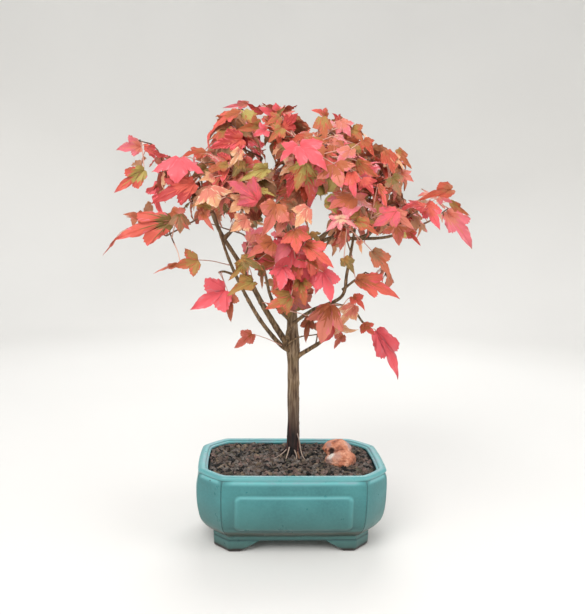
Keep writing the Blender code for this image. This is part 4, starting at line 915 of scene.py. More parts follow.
def shaped_leaf(leaf, rng):
    """The points of one leaf, folded, drooping and rippled, in place."""
    x, y, thick, edge = LEAF_POINTS.T.copy()
    side = np.clip((np.abs(x) / (np.abs(x) + np.abs(y) + 1e-6) - 0.25) / 0.35, 0.0, 1.0)
    spread = rng.uniform(0.82, 1.15)
    forward = rng.uniform(-0.05, 0.10)
    y = y + side * forward * np.abs(x) / 0.55
    x = x * (1.0 + side * (spread - 1.0)) * leaf.width
    lean = rng.uniform(-0.10, 0.10)
    x = x + lean * y * y
    fold = math.radians(rng.uniform(*LEAF_FOLD))
    z = thick + np.abs(x) * math.sin(fold)
    x = x * math.cos(fold)
    hang = rng.uniform(*LEAF_HANG)
    z = z - hang * np.clip(np.abs(x) - 0.12, 0.0, None) * 1.6
    waves, phase = rng.uniform(7.0, 13.0), rng.uniform(0.0, 6.28)
    z = z + 0.034 * edge ** 2 * np.sin(waves * (y + np.abs(x)) * 2.0 + phase)
    z = z + 0.016 * edge * (1.0 - edge) * 4.0 * np.sin(26.0 * y)
    droop = rng.uniform(0.25, 1.0)
    curl = rng.uniform(-0.2, 0.9)
    bend = droop * y + curl * np.clip(y - 0.6, 0.0, None) ** 2 * 2.0
    points = np.stack((x, y * np.sinc(bend / 3.14159), z - y * np.sin(bend * 0.5)), axis=1)
    twist = rng.uniform(-0.35, 0.35) * y
    turned_x = points[:, 0] * np.cos(twist) - points[:, 2] * np.sin(twist) * 0.4
    points[:, 2] += points[:, 0] * np.sin(twist)
    points[:, 0] = turned_x
    tip = points[np.argmax(LEAF_POINTS[:, 1])].copy()
    length = float(np.linalg.norm(tip))
    along = Vector(tip / length)
    level = Vector((0.0, 0.0, 1.0))
    local = leaf_frame(Vector(), along, level).to_3x3()
    chord = leaf.tip - leaf.base
    world = leaf_frame(Vector(), chord, leaf.out).to_3x3()
    turn = np.array(world @ local.inverted())
    placed = points @ turn.T * (chord.length / length) + np.array(leaf.base)
    for i, (low, high) in enumerate(CROWN_BOX):
        placed[:, i] = np.clip(placed[:, i], low + 0.3, high - 0.4)
    return placed


def leaf_slots(leaf, rng, slot_of):
    """The material of each triangle: heart, blade and margin of the leaf's own kind."""
    blade, heart, margin, under = [slot_of[tint] for tint in KINDS[leaf.kind]]
    middle = LEAF_POINTS[LEAF_FACES].mean(axis=1)
    away = np.hypot(middle[:, 0], middle[:, 1] - 0.05)
    noise_of = np.array([rng.random() for _ in range(len(LEAF_FACES))])
    heart_reach = rng.uniform(*HEART_REACH)
    margin_share = rng.uniform(*MARGIN_SHARE)
    slots = np.full(len(LEAF_FACES), blade)
    slots[away + 0.10 * (noise_of - 0.5) < heart_reach] = heart
    slots[(LEAF_PARTS == 0) & (away < heart_reach + 0.25)] = heart
    slots[(LEAF_PARTS == 2) & (noise_of < margin_share)] = margin
    slots[(away > 0.82) & (noise_of < margin_share + 0.3)] = margin
    slots[LEAF_PARTS == 3] = under
    return slots


class Skin:
    """Points and faces that become one joined piece."""

    def __init__(self):
        self.points, self.faces, self.slots = [], [], []
        self.count = 0

    def add(self, points, faces, slots=0):
        """Add points and the faces between them, with one slot or one for each face."""
        self.points.append(np.asarray(points, float))
        self.faces.extend((np.asarray(faces) + self.count).tolist())
        self.slots.extend(np.broadcast_to(slots, len(faces)).tolist())
        self.count += len(points)

    def add_tube(self, line, radii, sides, slot=0, relief=None):
        """A tube round a line, pointed at its end, with its skin moved out by the relief."""
        rings, normal = [], None
        for i, point in enumerate(line):
            ahead = (line[min(i + 1, len(line) - 1)] - line[max(i - 1, 0)]).normalized()
            if normal is None:
                normal = Vector((1.0, 0.0, 0.0)) if abs(ahead.z) > 0.9 else ahead.orthogonal()
            normal = (normal - ahead * normal.dot(ahead)).normalized()
            across = ahead.cross(normal)
            for k in range(sides):
                turn = 2 * math.pi * k / sides
                way = normal * math.cos(turn) + across * math.sin(turn)
                radius = radii[i]
                if relief is not None:
                    radius += relief(point + way * radius, way, radius)
                rings.append(point + way * radius)
        rings.append(line[0])
        rings.append(line[-1] + (line[-1] - line[-2]).normalized() * radii[-1] * 0.6)
        faces = []
        for i in range(len(line) - 1):
            for k in range(sides):
                a, b = i * sides + k, i * sides + (k + 1) % sides
                faces.append((a, b, b + sides, a + sides))
        last = (len(line) - 1) * sides
        start_faces = [((k + 1) % sides, k, len(rings) - 2) for k in range(sides)]
        end_faces = [(last + k, last + (k + 1) % sides, len(rings) - 1) for k in range(sides)]
        first = self.count
        self.points.append(np.array(rings))
        self.count += len(rings)
        for face in faces + start_faces + end_faces:
            self.faces.append([first + i for i in face])
            self.slots.append(slot)

    def piece(self, name, materials, record_slot, replaced=(), smooth=True, values=None):
        """The joined mesh as an object that rides on the plant and stands for CAD nodes."""
        mesh = bpy.data.meshes.new(name)
        raised = np.concatenate(self.points) - np.array((0.0, 0.0, TABLE))
        mesh.from_pydata((raised * MM).tolist(), [], self.faces)
        for finish in materials:
            mesh.materials.append(finish)
        mesh.polygons.foreach_set("material_index", np.array(self.slots, np.int32))
        if smooth:
            mesh.shade_smooth()
        for key, value in (values or {}).items():
            layer = mesh.attributes.new(key, "FLOAT", "POINT")
            layer.data.foreach_set("value", np.asarray(value, np.float32))
        made = bpy.data.objects.new(name, mesh)
        bpy.context.scene.collection.objects.link(made)
        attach(made, "root")
        if replaced:
            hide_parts(*replaced)
        return made


def feed(tree, socket, value):
    """Link a socket to another, or set it to a plain value."""
    if isinstance(value, bpy.types.NodeSocket):
        tree.links.new(value, socket)
    else:
        socket.default_value = value


def new_node(tree, kind, options=None, **inputs):
    """A shader node with its options and inputs set or linked; _ in a name is a space."""
    made = tree.nodes.new(kind)
    for key, value in (options or {}).items():
        setattr(made, key, value)
    for key, value in inputs.items():
        socket = made.inputs[key.replace("_", " ")]
        feed(tree, socket, value)
    return made


def math_node(tree, operation, *values):
    """Arithmetic on values, each a socket or a number."""
    made = new_node(tree, "ShaderNodeMath", {"operation": operation})
    for socket, value in zip(made.inputs, values):
        feed(tree, socket, value)
    return made.outputs[0]


def distance_node(tree, where, place):
    """The distance in metres from a place that is given in millimetres."""
    made = new_node(tree, "ShaderNodeVectorMath", {"operation": "DISTANCE"})
    feed(tree, made.inputs[0], where)
    feed(tree, made.inputs[1], [x * MM for x in place])
    return made.outputs["Value"]


def new_material(name, roughness=0.5):
    """A material with its node tree and its shader."""
    made = bpy.data.materials.new(name)
    made.use_nodes = True
    shader = made.node_tree.nodes["Principled BSDF"]
    shader.inputs["Roughness"].default_value = roughness
    return made, made.node_tree, shader


def place_node(tree):
    """The place on the object, in metres, with heights that count as they do above."""
    where = tree.nodes.new("ShaderNodeTexCoord").outputs["Object"]
    return new_node(tree, "ShaderNodeMapping", Vector=where, Location=(0.0, 0.0, TABLE * MM)).outputs[0]


def noise_node(tree, where, scale, detail=4.0, stretch=None):
    """Noise from 0 to 1, stretched along the axes if that is given."""
    if stretch is not None:
        where = new_node(tree, "ShaderNodeMapping", Vector=where, Scale=stretch).outputs[0]
    return new_node(tree, "ShaderNodeTexNoise", Vector=where, Scale=scale, Detail=detail).outputs["Fac"]


def ramp_node(tree, factor, stops):
    """Colours (0 to 255) dealt out along a factor."""
    made = new_node(tree, "ShaderNodeValToRGB", Fac=factor)
    ramp = made.color_ramp
    while len(ramp.elements) < len(stops):
        ramp.elements.new(0.5)
    for element, (place, colour) in zip(ramp.elements, stops):
        element.position = place
        element.color = (*to_linear(colour), 1.0)
    return made.outputs["Color"]


def range_node(tree, value, low, high, to_low=0.0, to_high=1.0):
    """A value carried from one range to another, held at the ends."""
    inputs = {"Value": value, "From_Min": low, "From_Max": high, "To_Min": to_low, "To_Max": to_high}
    return new_node(tree, "ShaderNodeMapRange", **inputs).outputs["Result"]


def mix_node(tree, factor, one, other):
    """A mix of two colours, each a socket or a colour from 0 to 255."""
    made = tree.nodes.new("ShaderNodeMix")
    made.data_type = "RGBA"
    for socket, value in ((made.inputs[0], factor), (made.inputs[6], one), (made.inputs[7], other)):
        feed(tree, socket, (*to_linear(value), 1.0) if isinstance(value, tuple) else value)
    return made.outputs[2]


def bump(tree, shader, height, distance, strength=1.0):
    """Relief from a height, as deep as the distance in metres."""
    made = new_node(tree, "ShaderNodeBump", Height=height, Distance=distance, Strength=strength)
    tree.links.new(made.outputs["Normal"], shader.inputs["Normal"])


def height_node(tree, where):
    """The height of a place."""
    return new_node(tree, "ShaderNodeSeparateXYZ", Vector=where).outputs["Z"]


def glaze_material():
    """Teal glaze: thinner and paler on edges, with painted highlight on the lip and the panels' top edges;
    darker where it pools, with painted shade in the creases, under the lip and the panels, inside the wall
    and where the body steps in; bare clay underneath, with painted shade on the lower feet.
    """
    made, tree, shader = new_material("pot_glaze", 0.34)
    where = place_node(tree)
    thin = new_node(tree, "ShaderNodeAttribute", {"attribute_name": "thin"}).outputs["Fac"]
    pool = new_node(tree, "ShaderNodeAttribute", {"attribute_name": "pool"}).outputs["Fac"]
    cloud = noise_node(tree, where, 28.0, 5.0)
    body = ramp_node(tree, cloud, ((0.25, (46, 104, 107)), (0.5, (53, 116, 118)), (0.75, (62, 127, 128))))
    grain = noise_node(tree, where, 420.0, 3.0)
    body = mix_node(tree, range_node(tree, grain, 0.35, 0.75, 0.0, 0.22), body, (78, 148, 147))
    # Paler where the glaze is thin on edges, and painted highlight on the lip and the panels' top edges.
    body = mix_node(tree, range_node(tree, thin, 0.0, 1.0, 0.0, 0.85), body, (112, 184, 186))
    streak = noise_node(tree, where, 60.0, 3.0, (1.0, 1.0, 4.0))
    lilac = math_node(tree, "MULTIPLY", range_node(tree, thin, 0.55, 1.0),
                      range_node(tree, streak, 0.42, 0.62))
    body = mix_node(tree, range_node(tree, lilac, 0.0, 1.0, 0.0, 0.7), body, (132, 148, 162))
    high = height_node(tree, where)
    waver = math_node(tree, "MULTIPLY_ADD", noise_node(tree, where, 110.0, 3.0), -0.0030, high)
    grey = range_node(tree, waver, 0.0560, 0.0160, 0.0, 0.56)
    body = mix_node(tree, grey, body, (62, 80, 70))
    brown = math_node(tree, "MULTIPLY", range_node(tree, waver, 0.0200, 0.0178, 0.0, 0.85),
                      range_node(tree, waver, 0.0100, 0.0118))
    body = mix_node(tree, brown, body, (60, 60, 48))
    # Darker where the glaze pools, and painted shade: in the creases, under the lip, below the panels, on the
    # inner wall and where the body steps in.
    body = mix_node(tree, range_node(tree, pool, 0.0, 1.0, 0.0, 0.85), body, (30, 62, 64))
    cells = new_node(tree, "ShaderNodeTexVoronoi", Vector=where, Scale=52.0, Randomness=1.0)
    pit = range_node(tree, cells.outputs["Distance"], 0.035, 0.06, 1.0, 0.0)
    body = mix_node(tree, pit, body, (24, 40, 42))
    # Painted shade on the lower feet, darker towards the table.
    body = mix_node(tree, range_node(tree, waver, 0.0040, -0.0040, 0.0, 0.5), body, (48, 52, 45))
    # Bare clay at the feet's bottom edges, darkened further as painted shade.
    bare_clay_and_shade = range_node(tree, waver, -0.0024, -0.0044)
    body = mix_node(tree, bare_clay_and_shade, body, (36, 28, 25))
    tree.links.new(body, shader.inputs["Base Color"])
    tree.links.new(range_node(tree, noise_node(tree, where, 90.0, 4.0), 0.3, 0.7, 0.26, 0.42),
                   shader.inputs["Roughness"])
    bump(tree, shader, noise_node(tree, where, 160.0, 4.0), 0.0004, 0.35)
    return made


def soil_material(name, colours, roughness=0.92):
    """Fired clay granules in one run of colours."""
    made, tree, shader = new_material(name, roughness)
    where = place_node(tree)
    patch = noise_node(tree, where, 300.0, 3.0)
    body = ramp_node(tree, patch, ((0.3, colours[0]), (0.55, colours[1]), (0.75, colours[2])))
    tree.links.new(body, shader.inputs["Base Color"])
    bump(tree, shader, noise_node(tree, where, 1600.0, 4.0), 0.0005, 0.7)
    return made


def rock_material():
    """Weathered stone: peach and orange-brown with grey crusts, a white vein and painted shade in its
    hollows.
    """
    made, tree, shader = new_material("rock_stone", 0.78)
    where = place_node(tree)
    patch = noise_node(tree, where, 85.0, 6.0)
    body = ramp_node(tree, patch, ((0.32, (100, 56, 44)), (0.43, (182, 110, 80)), (0.56, (216, 150, 120)),
                                   (0.70, (236, 196, 172))))
    crust = noise_node(tree, where, 46.0, 5.0)
    body = mix_node(tree, range_node(tree, crust, 0.52, 0.62, 0.0, 0.6), body, (176, 146, 136))
    # Patches of colour, and painted shade in the hollows.
    for place, radius, colour, share in ROCK_PATCHES_AND_SHADE:
        ragged = math_node(tree, "MULTIPLY_ADD", noise_node(tree, where, 240.0, 4.0), radius * MM * 0.9,
                           distance_node(tree, where, place))
        patch_share = range_node(tree, ragged, radius * MM * 1.55, radius * MM * 1.1, 0.0, share)
        body = mix_node(tree, patch_share, body, colour)
    speck = noise_node(tree, where, 700.0, 3.0)
    body = mix_node(tree, range_node(tree, speck, 0.58, 0.7, 0.0, 0.55), body, (112, 70, 56))
    tree.links.new(body, shader.inputs["Base Color"])
    tree.links.new(range_node(tree, patch, 0.3, 0.7, 0.62, 0.9), shader.inputs["Roughness"])
    bump(tree, shader, noise_node(tree, where, 380.0, 6.0), 0.0016, 0.9)
    return made


def bark_material(name, trunk):
    """Bark: light tan and grey with upright streaks, darker towards the soil on a trunk, with painted shade
    between its roots at the front; darker higher up, in part painted shade under the crown.
    """
    made, tree, shader = new_material(name, 0.8)
    where = place_node(tree)
    streak = noise_node(tree, where, 380.0 if trunk else 420.0, 6.0, (1.0, 1.0, 0.09 if trunk else 0.3))
    if trunk:
        stops = ((0.30, (56, 41, 30)), (0.42, (100, 78, 57)), (0.54, (134, 111, 85)), (0.70, (172, 150, 122)))
    else:
        stops = ((0.30, (62, 46, 32)), (0.44, (98, 76, 52)), (0.58, (134, 106, 74)), (0.74, (168, 138, 102)))
    body = ramp_node(tree, streak, stops)
    crack = noise_node(tree, where, 800.0, 4.0, (1.0, 1.0, 0.10))
    body = mix_node(tree, range_node(tree, crack, 0.46, 0.36, 0.0, 0.5), body, (58, 42, 31))
    body = mix_node(tree, range_node(tree, crack, 0.56, 0.66, 0.0, 0.35), body, (186, 164, 134))
    patch = noise_node(tree, where, 48.0, 3.0)
    body = mix_node(tree, range_node(tree, patch, 0.5, 0.72, 0.0, 0.4), body, (118, 96, 62))
    high = height_node(tree, where)
    if trunk:
        # Darker lower down the trunk, and near black at its foot by the soil.
        ragged = math_node(tree, "MULTIPLY_ADD", noise_node(tree, where, 90.0, 3.0, (1.0, 1.0, 0.3)),
                           -0.045, high)
        foot_dark = range_node(tree, ragged, 0.084, 0.098, 0.96, 0.0)
        dim = range_node(tree, ragged, 0.142, 0.100, 0.0, 0.8)
        body = mix_node(tree, dim, body, (66, 48, 39))
        foot_dark_tints = ramp_node(tree, streak, ((0.38, (20, 14, 14)), (0.54, (40, 23, 21)), (0.70, (88, 44, 36))))
        body = mix_node(tree, foot_dark, body, foot_dark_tints)
        # Painted shade in the hollow between the roots at the front.
        apart = distance_node(tree, where, ROOT_HOLLOW)
        root_shade_share = range_node(tree, apart, *HOLLOW_EDGE, 0.0, ROOT_SHADE_SHARE)
        body = mix_node(tree, root_shade_share, body, ROOT_SHADE_COLOUR)
    # Darker and browner higher up, inside the crown: in part painted shade under the leaves, in part the
    # upper wood's own darker bark.
    upper = range_node(tree, high, 0.25, 0.42, 0.0, 0.45)
    body = mix_node(tree, upper, body, (98, 70, 46))
    tree.links.new(body, shader.inputs["Base Color"])
    tree.links.new(range_node(tree, streak, 0.3, 0.7, 0.9, 0.68), shader.inputs["Roughness"])
    bump(tree, shader, streak, 0.0006, 0.8)
    return made


def twig_material(name, low, high, roughness):
    """Young bark or a leaf stalk, with its colour drifting along the twigs."""
    made, tree, shader = new_material(name, roughness)
    where = place_node(tree)
    drift = noise_node(tree, where, 40.0, 3.0)
    tree.links.new(ramp_node(tree, drift, ((0.3, low), (0.7, high))), shader.inputs["Base Color"])
    bump(tree, shader, noise_node(tree, where, 1500.0, 3.0), 0.0002, 0.5)
    return made


def leaf_material(name, colour):
    """One tint of leaf: a plain colour, with a fine net of veins in its relief."""
    made, tree, shader = new_material("leaf_" + name, 0.52)
    shader.inputs["Base Color"].default_value = (*to_linear(colour), 1.0)
    shader.inputs["Subsurface Weight"].default_value = 0.0
    shader.inputs["Specular IOR Level"].default_value = 0.35
    shader.inputs["Sheen Weight"].default_value = 0.08
    where = place_node(tree)
    cells = new_node(tree, "ShaderNodeTexVoronoi", {"feature": "DISTANCE_TO_EDGE"}, Vector=where, Scale=620.0)
    net = range_node(tree, cells.outputs["Distance"], 0.0, 0.12)
    tree.links.new(range_node(tree, noise_node(tree, where, 130.0, 3.0), 0.3, 0.7, 0.42, 0.62),
                   shader.inputs["Roughness"])
    bump(tree, shader, net, 0.0002, 0.35)
    return made


def smoothstep(value):
    """A soft step from 0 to 1."""
    value = np.clip(value, 0.0, 1.0)
    return value * value * (3.0 - 2.0 * value)


def chamfer(offset):
    """The outward direction of a cut corner and its distance from the pot's middle."""
    cut_x, cut_y = CORNER_CUT
    length = math.hypot(cut_x, cut_y)
    normal = (cut_y / length, cut_x / length)
    return normal, normal[0] * (RIM_HALF[0] - cut_x) + normal[1] * RIM_HALF[1] + CUT_SHARE * offset


def rounded_outline(offset, radius):
    """The pot's plan outline moved outwards, in its own axes.

    Returns places, which side each is on, how far along it is, and how near a corner's
    crease. Sides 0 to 3 are right, back, left and front, and a cut corner is side -1.
    """
    outer_x, outer_y = RIM_HALF[0] + END_SHARE * offset, RIM_HALF[1] + offset
    normal, reach = chamfer(offset)
    front = (reach - normal[1] * outer_y) / normal[0]
    side = (reach - normal[0] * outer_x) / normal[1]
    corners = [(outer_x, -side), (outer_x, side), (front, outer_y), (-front, outer_y), (-outer_x, side),
               (-outer_x, -side), (-front, -outer_y), (front, -outer_y)]
    sides = (0, -1, 1, -1, 2, -1, 3, -1)
    points, kinds, alongs, creases = [], [], [], []
    for i, (x0, y0) in enumerate(corners):
        start, before, after = Vector((x0, y0)), Vector(corners[i - 1]), Vector(corners[(i + 1) % 8])
        back, ahead = (before - start).normalized(), (after - start).normalized()
        angle = math.pi - back.angle(ahead)
        cut = radius * math.tan(angle / 2)
        inner = start + (back + ahead).normalized() * radius / math.cos(angle / 2)
        first = start + back * cut - inner
        for k in range(9):
            turn = angle * k / 8
            spun = Vector((first.x * math.cos(turn) - first.y * math.sin(turn),
                           first.x * math.sin(turn) + first.y * math.cos(turn)))
            points.append(inner + spun)
            kinds.append(-2)
            alongs.append(0.0)
            creases.append(1.0 - abs(k - 4) / 4)
        span = (after - start).length
        middle = (start + after) / 2
        places = SIDE_PLACES[sides[i] % 2]
        if sides[i] < 0:
            places = [(span - 2.0 * cut) * (k / 9 - 0.5) for k in range(1, 9)]
        for x in places:
            points.append(middle + ahead * x)
            kinds.append(sides[i])
            alongs.append(x)
            creases.append(0.0)
    return np.array(points), np.array(kinds), np.array(alongs), np.array(creases)


def pot_places(points):
    """Places in the pot's own axes, carried to the model's."""
    turn = math.radians(POT_TURN)
    cosine, sine = math.cos(turn), math.sin(turn)
    spin = np.array(((cosine, -sine, 0.0), (sine, cosine, 0.0), (0.0, 0.0, 1.0)))
    return np.asarray(points, float) @ spin.T + np.array(POT_MIDDLE)


def side_places(half):
    """Places along a side of the pot, closest together at the panel's ends."""
    edge = [half - PANEL_SOFT / 2 + PANEL_SOFT * k / 6 - 0.4 for k in range(7)]
    inner = [k * 3.0 for k in range(1, int((half - 3.0) / 3.0) + 1)]
    right = [x for x in inner if x < edge[0] - 1.0] + edge
    return [-x for x in reversed(right)] + [0.0] + right


SIDE_PLACES = (side_places(PANEL_HALF_SIDE), side_places(PANEL_HALF_FRONT))


def panel_depth(along, z, half):
    """How far inside the raised panel's border a place is, and past its border it is negative."""
    across = half - np.abs(along)
    upright = min(z - PANEL_BOTTOM, PANEL_TOP - z)
    corner_x, corner_z = PANEL_CORNER - across, PANEL_CORNER - upright
    rounded = PANEL_CORNER - np.hypot(np.clip(corner_x, 0, None), max(corner_z, 0.0))
    return np.where((corner_x > 0) & (corner_z > 0), rounded, np.minimum(across, upright))


def wall_rows(wall, count):
    """Levels of a wall: a smooth curve through its points, as many as asked."""
    knots = [(0.0, offset, z) for z, offset in wall]
    fine = smooth_line(knots, 0.25)
    marks = fractions(fine)
    rows = []
    for k in range(count):
        i = int(np.searchsorted(marks, k / (count - 1) - 1e-9))
        rows.append((fine[min(i, len(fine) - 1)].z, fine[min(i, len(fine) - 1)].y))
    return rows


def make_pot(glaze):
    """The pot's body with its lip, creased corners and soft raised panels, and its four feet."""
    skin = Skin()
    thin, pool = [], []
    rows = [(z, offset, True) for z, offset in wall_rows(OUTER_WALL, WALL_LEVELS)]
    rows += [(z, offset, False) for z, offset in reversed(wall_rows(INNER_WALL, 26))]
    rows += [(z, offset, False) for z, offset in reversed(wall_rows(LOWER_INNER_WALL, 12))][1:]
    halves = (PANEL_HALF_SIDE, PANEL_HALF_FRONT, PANEL_HALF_SIDE, PANEL_HALF_FRONT)
    spans = (RIM_HALF[1] - CORNER_CUT[1], RIM_HALF[0] - CORNER_CUT[0]) * 2
    rings = []
    for z, offset, outside in rows:
        upper = float(smoothstep((z - 74.0) / 4.5))
        corner_radius = BODY_RADIUS + (RIM_RADIUS - BODY_RADIUS) * upper
        flat, kinds, alongs, creases = rounded_outline(offset, corner_radius)
        before, after = np.roll(flat, 1, axis=0), np.roll(flat, -1, axis=0)
        tangent = after - before
        normal = np.stack((tangent[:, 1], -tangent[:, 0]), axis=1)
        normal /= np.linalg.norm(normal, axis=1)[:, None]
        out = np.zeros(len(flat))
        thin_glaze_and_highlight = np.zeros(len(flat))
        dark = np.zeros(len(flat))
        low, high = smoothstep((z - 12.0) / 6.0), smoothstep((78.0 - z) / 3.0)
        for side in range(4):
            on = kinds == side
            out[on] += BULGES[side] * (1.0 - (alongs[on] / spans[side]) ** 2) * float(low)
        on = kinds == -1
        out[on] += CHAMFER_BULGE * (1.0 - (alongs[on] / 17.0) ** 2) * float(low)
        if outside:
            for side, half in enumerate(halves):
                on = kinds == side
                depth = panel_depth(alongs[on], z, half)
                out[on] += PANEL_PROUD * smoothstep(depth / PANEL_SOFT + 0.5)
                top = float(smoothstep((z - PANEL_TOP + 7.0) / 6.0))
                bottom = float(smoothstep((PANEL_BOTTOM + 5.0 - z) / 5.0))
                # Pale border round the panel: thin glaze, with painted highlight along its top edge.
                thin_glaze_and_highlight[on] = np.exp(-((depth - 1.2) / 1.5) ** 2) * (0.22 + 0.5 * top - 0.2 * bottom)
                # Painted shade along the foot of the panel's border, strongest below the panel.
                dark[on] = np.exp(-((depth + 1.9) / 1.3) ** 2) * (0.34 - 0.2 * top + 0.4 * bottom)
            # Darker in the corner creases: glaze pooling there, and painted shade.
            groove = creases ** 2 * float(low * smoothstep((79.4 - z) / 1.5))
            out -= CREASE_DEPTH * creases ** 3 * float(low * high)
            dark += groove * 0.8
            # Paler lip on top: thin glaze, with painted highlight.
            thin_glaze_and_highlight += float(smoothstep((z - 78.8) / 1.6)) * 0.6
            band = float(np.exp(-((z - 77.4) / 2.2) ** 2))
            thin_glaze_and_highlight += band * np.where(kinds % 2 == 1, 0.95, 0.25)
            # A dark line under the lip: painted shade, with glaze pooling there.
            shade_under_lip = float(np.exp(-((z - 79.0) / 0.5) ** 2))
            dark += shade_under_lip * np.where((kinds == 1) | (kinds == 3), 0.1, 0.8)
            out += float(np.exp(-((z - 78.9) / 0.9) ** 2)) * np.where((kinds == 1) | (kinds == 3), 0.45, 0.0)
            # Dark lines where the body steps in towards its foot: painted shade.
            dark += float(np.exp(-((z - 21.2) / 0.7) ** 2)) * 0.5
            dark += float(np.exp(-((z - 12.9) / 0.9) ** 2)) * 0.85
            dark += float(smoothstep((9.3 - z) / 1.6)) * 0.9
        else:
            # Paler inner rim edge: thin glaze, with painted highlight.
            thin_glaze_and_highlight += float(smoothstep((z - 79.6) / 0.8)) * 0.9
            # Painted shade in the inner crease under the rim and down the inner wall.
            dark += float(np.exp(-((z - 82.75) / 0.3) ** 2)) * 0.9
            dark += float(smoothstep((79.9 - z) / 0.8)) * 0.95
        placed = flat + normal * out[:, None]
        ring = np.column_stack((placed, np.full(len(flat), z)))
        for point in ring:
            swell = noise.noise(Vector(point) * 0.018) * 0.35
            point[0] += swell
            point[1] += swell * 0.6
        rings.append(ring)
        thin.extend(np.clip(thin_glaze_and_highlight, 0.0, 1.0))
        pool.extend(np.clip(dark, 0.0, 1.0))
    size = len(rings[0])
    faces = []
    for i in range(len(rings) - 1):
        for k in range(size):
            a, b = i * size + k, i * size + (k + 1) % size
            faces.append((a, b, b + size, a + size))
    points = np.concatenate(rings)
    under = len(points)
    points = np.vstack((points, [(0.0, 0.0, BAND_BOTTOM), (0.0, 0.0, LOWER_INNER_WALL[0][0])]))
    skin.add(pot_places(points), faces)
    last = (len(rings) - 1) * size
    caps = [((k + 1) % size, k, under) for k in range(size)]
    caps += [(last + k, last + (k + 1) % size, under + 1) for k in range(size)]
    for face in caps:
        skin.faces.append(list(face))
        skin.slots.append(0)
    thin += [0.0, 0.0]
    pool += [0.6, 0.6]
    for sign_x, sign_y in ((1, 1), (-1, 1), (-1, -1), (1, -1)):
        heights = add_foot(skin, sign_x, sign_y)
        thin += [0.1] * len(heights)
        # Painted shade on the feet where they tuck under the body.
        pool += [0.85 * float(smoothstep((z - 6.0) / 1.2)) for z in heights]
    return skin.piece("pot_glazed", [glaze], "glaze", ("pot",), values={"thin": thin, "pool": pool})


def add_foot(skin, sign_x, sign_y):
    """One bracket foot round a corner of the pot; returns the heights of its points."""
    stations = [(0, SPAN_FRONT + along, low) for along, low in reversed(FOOT_CURVE)]
    stations += [(0, SPAN_FRONT + along, TABLE) for along in (26.0, 29.0, 32.0)]
    stations += [(1, k / 8, TABLE) for k in range(9)]
    stations += [(2, SPAN_SIDE + along, low) for along, low in FOOT_CURVE]
    profile = ((0.0, 1.0), (0.0, 0.93), (0.0, 0.83), (0.0, 0.5), (0.0, 0.3), (0.0, 0.16),
               (0.06, 0.05), (0.16, 0.0),
               (0.5, 0.0), (0.84, 0.0), (0.94, 0.05), (1.0, 0.16), (1.0, 0.5), (1.0, 1.0))
    points = []
    for part, along, low in stations:
        for depth, share in profile:
            z = low + (FOOT_TOP - low) * share
            offset = level_on(FOOT_TAPER, z) - depth * FOOT_THICKNESS
            outer_x, outer_y = RIM_HALF[0] + END_SHARE * offset, RIM_HALF[1] + offset
            normal, reach = chamfer(offset)
            front = (reach - normal[1] * outer_y) / normal[0]
            side = (reach - normal[0] * outer_x) / normal[1]
            if part == 0:
                x, y = min(along, front), outer_y
            elif part == 2:
                x, y = outer_x, min(along, side)
            else:
                x = front + (outer_x - front) * along
                y = outer_y + (side - outer_y) * along
            points.append((sign_x * x, sign_y * y, z))
    rows = len(profile)
    faces = []
    for i in range(len(stations) - 1):
        for j in range(rows - 1):
            a = i * rows + j
            face = (a, a + rows, a + rows + 1, a + 1)
            faces.append(face if sign_x * sign_y > 0 else face[::-1])
    skin.add(pot_places(points), faces)
    return [z for _, _, z in points]


def chip(rng, size):
    """One angular granule: a flattened block with its corners moved about."""
    corners = []
    for x in (-0.5, 0.5):
        for y in (-0.5, 0.5):
            for z in (-0.5, 0.5):
                shares = (rng.uniform(0.6, 1.2), rng.uniform(0.5, 0.9), rng.uniform(0.4, 0.8))
                corners.append(Vector((x * shares[0], y * shares[1], z * shares[2])))
    spin = Matrix.Rotation(rng.uniform(0, 6.28), 3, "Z") @ Matrix.Rotation(rng.uniform(-0.9, 0.9), 3, "X")
    spin = spin @ Matrix.Rotation(rng.uniform(-0.7, 0.7), 3, "Y")
    return [spin @ corner * size for corner in corners]


def make_chips(finishes):
    """A bed of granules over the soil, in several tints."""
    rng = random.Random(5)
    skin = Skin()
    soil = bpy.data.objects["soil"].data
    surface = BVHTree.FromPolygons([vert.co for vert in soil.vertices],
                                   [face.vertices for face in soil.polygons])
    normal, reach = chamfer(-CHIP_ROOM)
    half_x, half_y = RIM_HALF[0] - END_SHARE * CHIP_ROOM, RIM_HALF[1] - CHIP_ROOM
    columns, rows = int(half_x / CHIP_STEP), int(half_y / CHIP_STEP)
    for i in range(-columns, columns + 1):
        for j in range(-rows, rows + 1):
            x, y = [CHIP_STEP * (step + rng.uniform(-0.5, 0.5)) for step in (i, j)]
            size, sink = rng.uniform(*CHIP_SIZE), rng.uniform(*CHIP_SINK)
            x, y = min(half_x, max(-half_x, x)), min(half_y, max(-half_y, y))
            over = max(0.0, normal[0] * abs(x) + normal[1] * abs(y) - reach)
            inner = min(half_x - abs(x), half_y - abs(y), reach - normal[0] * abs(x) - normal[1] * abs(y))
            sink -= CHIP_LOW * max(0.0, 1.0 - max(0.0, inner) / 4.0)
            x -= math.copysign(normal[0] * over, x)
            y -= math.copysign(normal[1] * over, y)
            place = pot_places([(x, y, 0.0)])[0]
            hit = surface.ray_cast(Vector((place[0] * MM, place[1] * MM, 1.0)), Vector((0.0, 0.0, -1.0)))[0]
            centre = Vector((place[0], place[1], hit.z / MM + TABLE + sink))
            slot = rng.choices(range(len(finishes)), weights=GRANULE_SHARES)[0]
            skin.add([centre + corner for corner in chip(rng, size)], CHIP_FACES, slot)
    return skin.piece("soil_granules", finishes, "grit", smooth=False)


GRANULE_SHARES = [share for _, share, _ in GRANULES]


